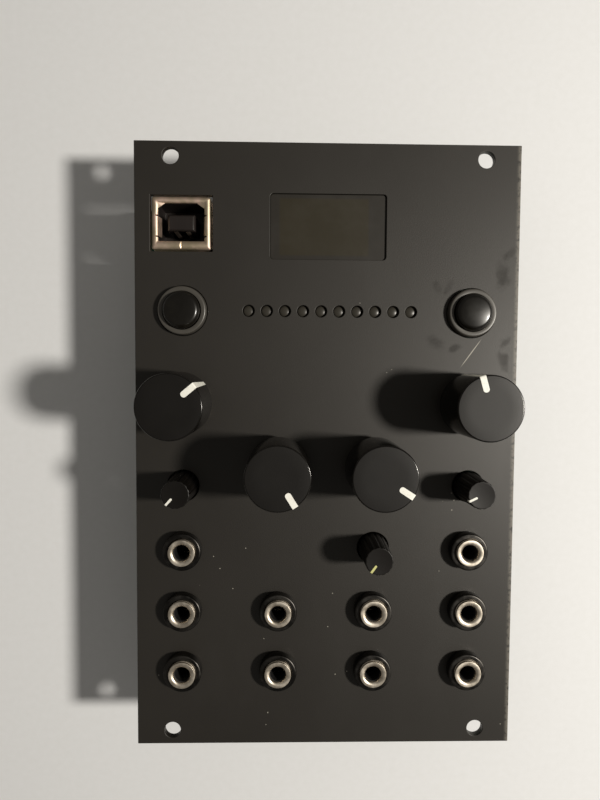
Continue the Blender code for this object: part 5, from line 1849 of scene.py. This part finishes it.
def marked_aluminium():
    """Bare aluminium whose end carries a black segment on the side of the minus pole."""
    centre, low, _ = middle("capacitor_left")
    paint = Paint("marked_aluminium")
    marks = paint.noise(3000, 3, 0.6, (1, 1, 12))
    segment = (paint.axis("Y") < centre.y - MARK_FROM_MIDDLE) * (paint.axis("Z") < low.z + 0.0004)
    colour = paint.blend(segment, tone(205, 205, 203), tone(26, 26, 27))
    rough = 0.26 + 0.2 * segment + 0.10 * (marks - 0.5)
    normal = paint.bump(marks, 0.000008, 0.6)
    return paint.finish(Base_Color=colour, Roughness=rough, Metallic=1 - segment, Normal=normal)


def capacitor_foot(size, base_low):
    foot = block("foot", (size.x, size.y, FOOT_HEIGHT), (0, 0, base_low + FOOT_HEIGHT / 2))
    edit(foot)
    pick(foot, "EDGE", lambda side: rise(side) > 0.001 and side.verts[0].co.y > 0)
    bpy.ops.mesh.bevel(offset=FOOT_CORNER, segments=1)
    done()
    return smooth(soften(foot, 0.00012, 1))


def capacitor_can(low, base_low):
    groove = base_low - 0.0009
    profile = [
        (CAN_RADIUS - 0.0002, base_low + 0.0001), (CAN_RADIUS, base_low - 0.0002),
        (CAN_RADIUS, groove + 0.0003), (CAN_RADIUS - CAN_GROOVE, groove), (CAN_RADIUS, groove - 0.0003),
        (CAN_RADIUS, low + 0.0005), (CAN_RADIUS - 0.00015, low + 0.00015), (CAN_RADIUS - 0.0005, low),
        (CAN_RADIUS - 0.0009, low + 0.0001), (0, low + 0.0001)]
    return smooth(turned("can", profile, 56), 35)


def make_capacitors():
    _, low, high = middle("capacitor_left")
    base_low = high.z - FOOT_HEIGHT
    put_family({
        "capacitor_foot_": (capacitor_foot(high - low, base_low), black_plastic, "black_plastic"),
        "capacitor_can_": (capacitor_can(low.z, base_low), marked_aluminium(), "capacitor", "capacitor_"),
    }, ("left", "right"), "capacitor_")
    print("capacitors", round(base_low - low.z, 4), "tall over their feet")


make_capacitors()

# %% [markdown]
# The crystal is a low steel can with round ends on a thin flange. The flange is a block with round corners,
# and its inset lower face is pulled down into the can.

# %% Crystal
FLANGE_SHEET = 0.0005


def make_crystal():
    centre, low, high = middle("crystal")
    size = high - low
    flange_centre = (centre.x, centre.y, high.z - FLANGE_SHEET / 2)
    flange = block("crystal_can", (size.x, size.y, FLANGE_SHEET), flange_centre)
    edit(flange)
    pick(flange, "EDGE", lambda side: rise(side) > 0.0004)
    bpy.ops.mesh.bevel(offset=size.x * 0.48, segments=10)
    pick(flange, "FACE", faces_down)
    bpy.ops.mesh.inset(thickness=0.0005, depth=0)
    pull((0, 0, low.z - high.z + FLANGE_SHEET))
    done()
    smooth(soften(flange, 0.0002, 2), 40, weigh=True)
    show(flange, pot_steel, "chassis", ["crystal"])
    print("crystal", round(size.z, 4), "high")


make_crystal()

# %% [markdown]
# Resistors and small capacitors lie in short rows round the chips. Each is a dark body with two tin ends. One
# of each is modelled and copied along rows that run across or up the board.

# %% Small parts
SMALL_SIZE = (0.0020, 0.00125, 0.0006)
SMALL_EDGE = 0.00006
BOARD_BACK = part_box("control_board")[0].z
ACROSS, UP = (0.0030, 0, pi / 2), (0, 0.0022, 0)
SMALL_ROWS = (
    (-0.0135, 0.0150, ACROSS, 10), (-0.0090, -0.0005, UP, 5), (0.0165, 0.0010, UP, 5),
    (0.0125, -0.0210, UP, 5), (0.0275, -0.0210, UP, 4), (-0.0180, -0.0160, ACROSS, 7),
    (-0.0180, -0.0280, ACROSS, 7), (-0.0290, 0.0290, ACROSS, 5),
)


def make_small_parts():
    places = [
        (x + step_x * index, y + step_y * index, turn)
        for x, y, (step_x, step_y, turn), count in SMALL_ROWS for index in range(count)
    ]
    length, width, height = SMALL_SIZE
    level = BOARD_BACK - height / 2
    core = soften(block("core", (length * 0.64, width, height * 0.9), (0, 0, level)), SMALL_EDGE, 1)
    show(smooth(spread(core, "small_parts", places)), chip_black, "chassis")
    ends = [
        soften(block("end", (length * 0.2, width, height), (side * length * 0.4, 0, level)), SMALL_EDGE, 1)
        for side in (-1, 1)
    ]
    show(smooth(spread(join(ends), "small_part_ends", places)), solder, "chassis")
    print("small parts:", len(places))


make_small_parts()

# %% [markdown]
# Every part on the front is soldered on the back, so the back carries a field of solder cones with the cut
# ends of the pins in them. Their places follow from the parts that they hold.

# %% Solder joints
SOLDER_SECTION = (
    (0.0009, 0), (0.0008, 0.0001), (0.00045, 0.0004), (0.0003, 0.0008), (0.00022, 0.0010), (0, 0.00102))


def solder_places():
    for number in JACKS:
        x, y, _ = middle("jack_nut_" + number)[0]
        yield from ((x, y + 0.0048), (x - 0.0024, y - 0.0046), (x + 0.0024, y - 0.0046))
    for side in KNOB_SIDES:
        x, y, _ = middle("pot_body_" + side)[0]
        yield from ((x + PIN_SPREAD * index, y - 0.0056) for index in (-1, 0, 1))
        yield from ((x - 0.0046, y + 0.0030), (x + 0.0046, y + 0.0030))
    for side in TRIMMER_SIDES:
        x, y, _ = middle("trimmer_body_" + side)[0]
        yield from ((x + PIN_SPREAD * index, y - 0.0040) for index in (-1, 0, 1))
    for side in BUTTON_SIDES:
        x, y, _ = middle("button_switch_" + side)[0]
        yield from ((x + across, y + up) for across in (-0.0062, 0.0062) for up in (-0.0025, 0.0025))
    x, y, _ = middle("usb_shell")[0]
    yield from ((x + across, y + up) for across in (-0.00125, 0.00125) for up in (-0.001, 0.001))
    yield from ((x - 0.0060, y), (x + 0.0060, y))


def make_solder_joints():
    cone = turned("cone", [(radius, BOARD_BACK - depth) for radius, depth in SOLDER_SECTION], 10)
    joints = [(x, y, 0) for x, y in solder_places()]
    show(smooth(spread(cone, "solder_joints", joints), 60), solder, "chassis")
    print("solder joints:", len(joints))


make_solder_joints()
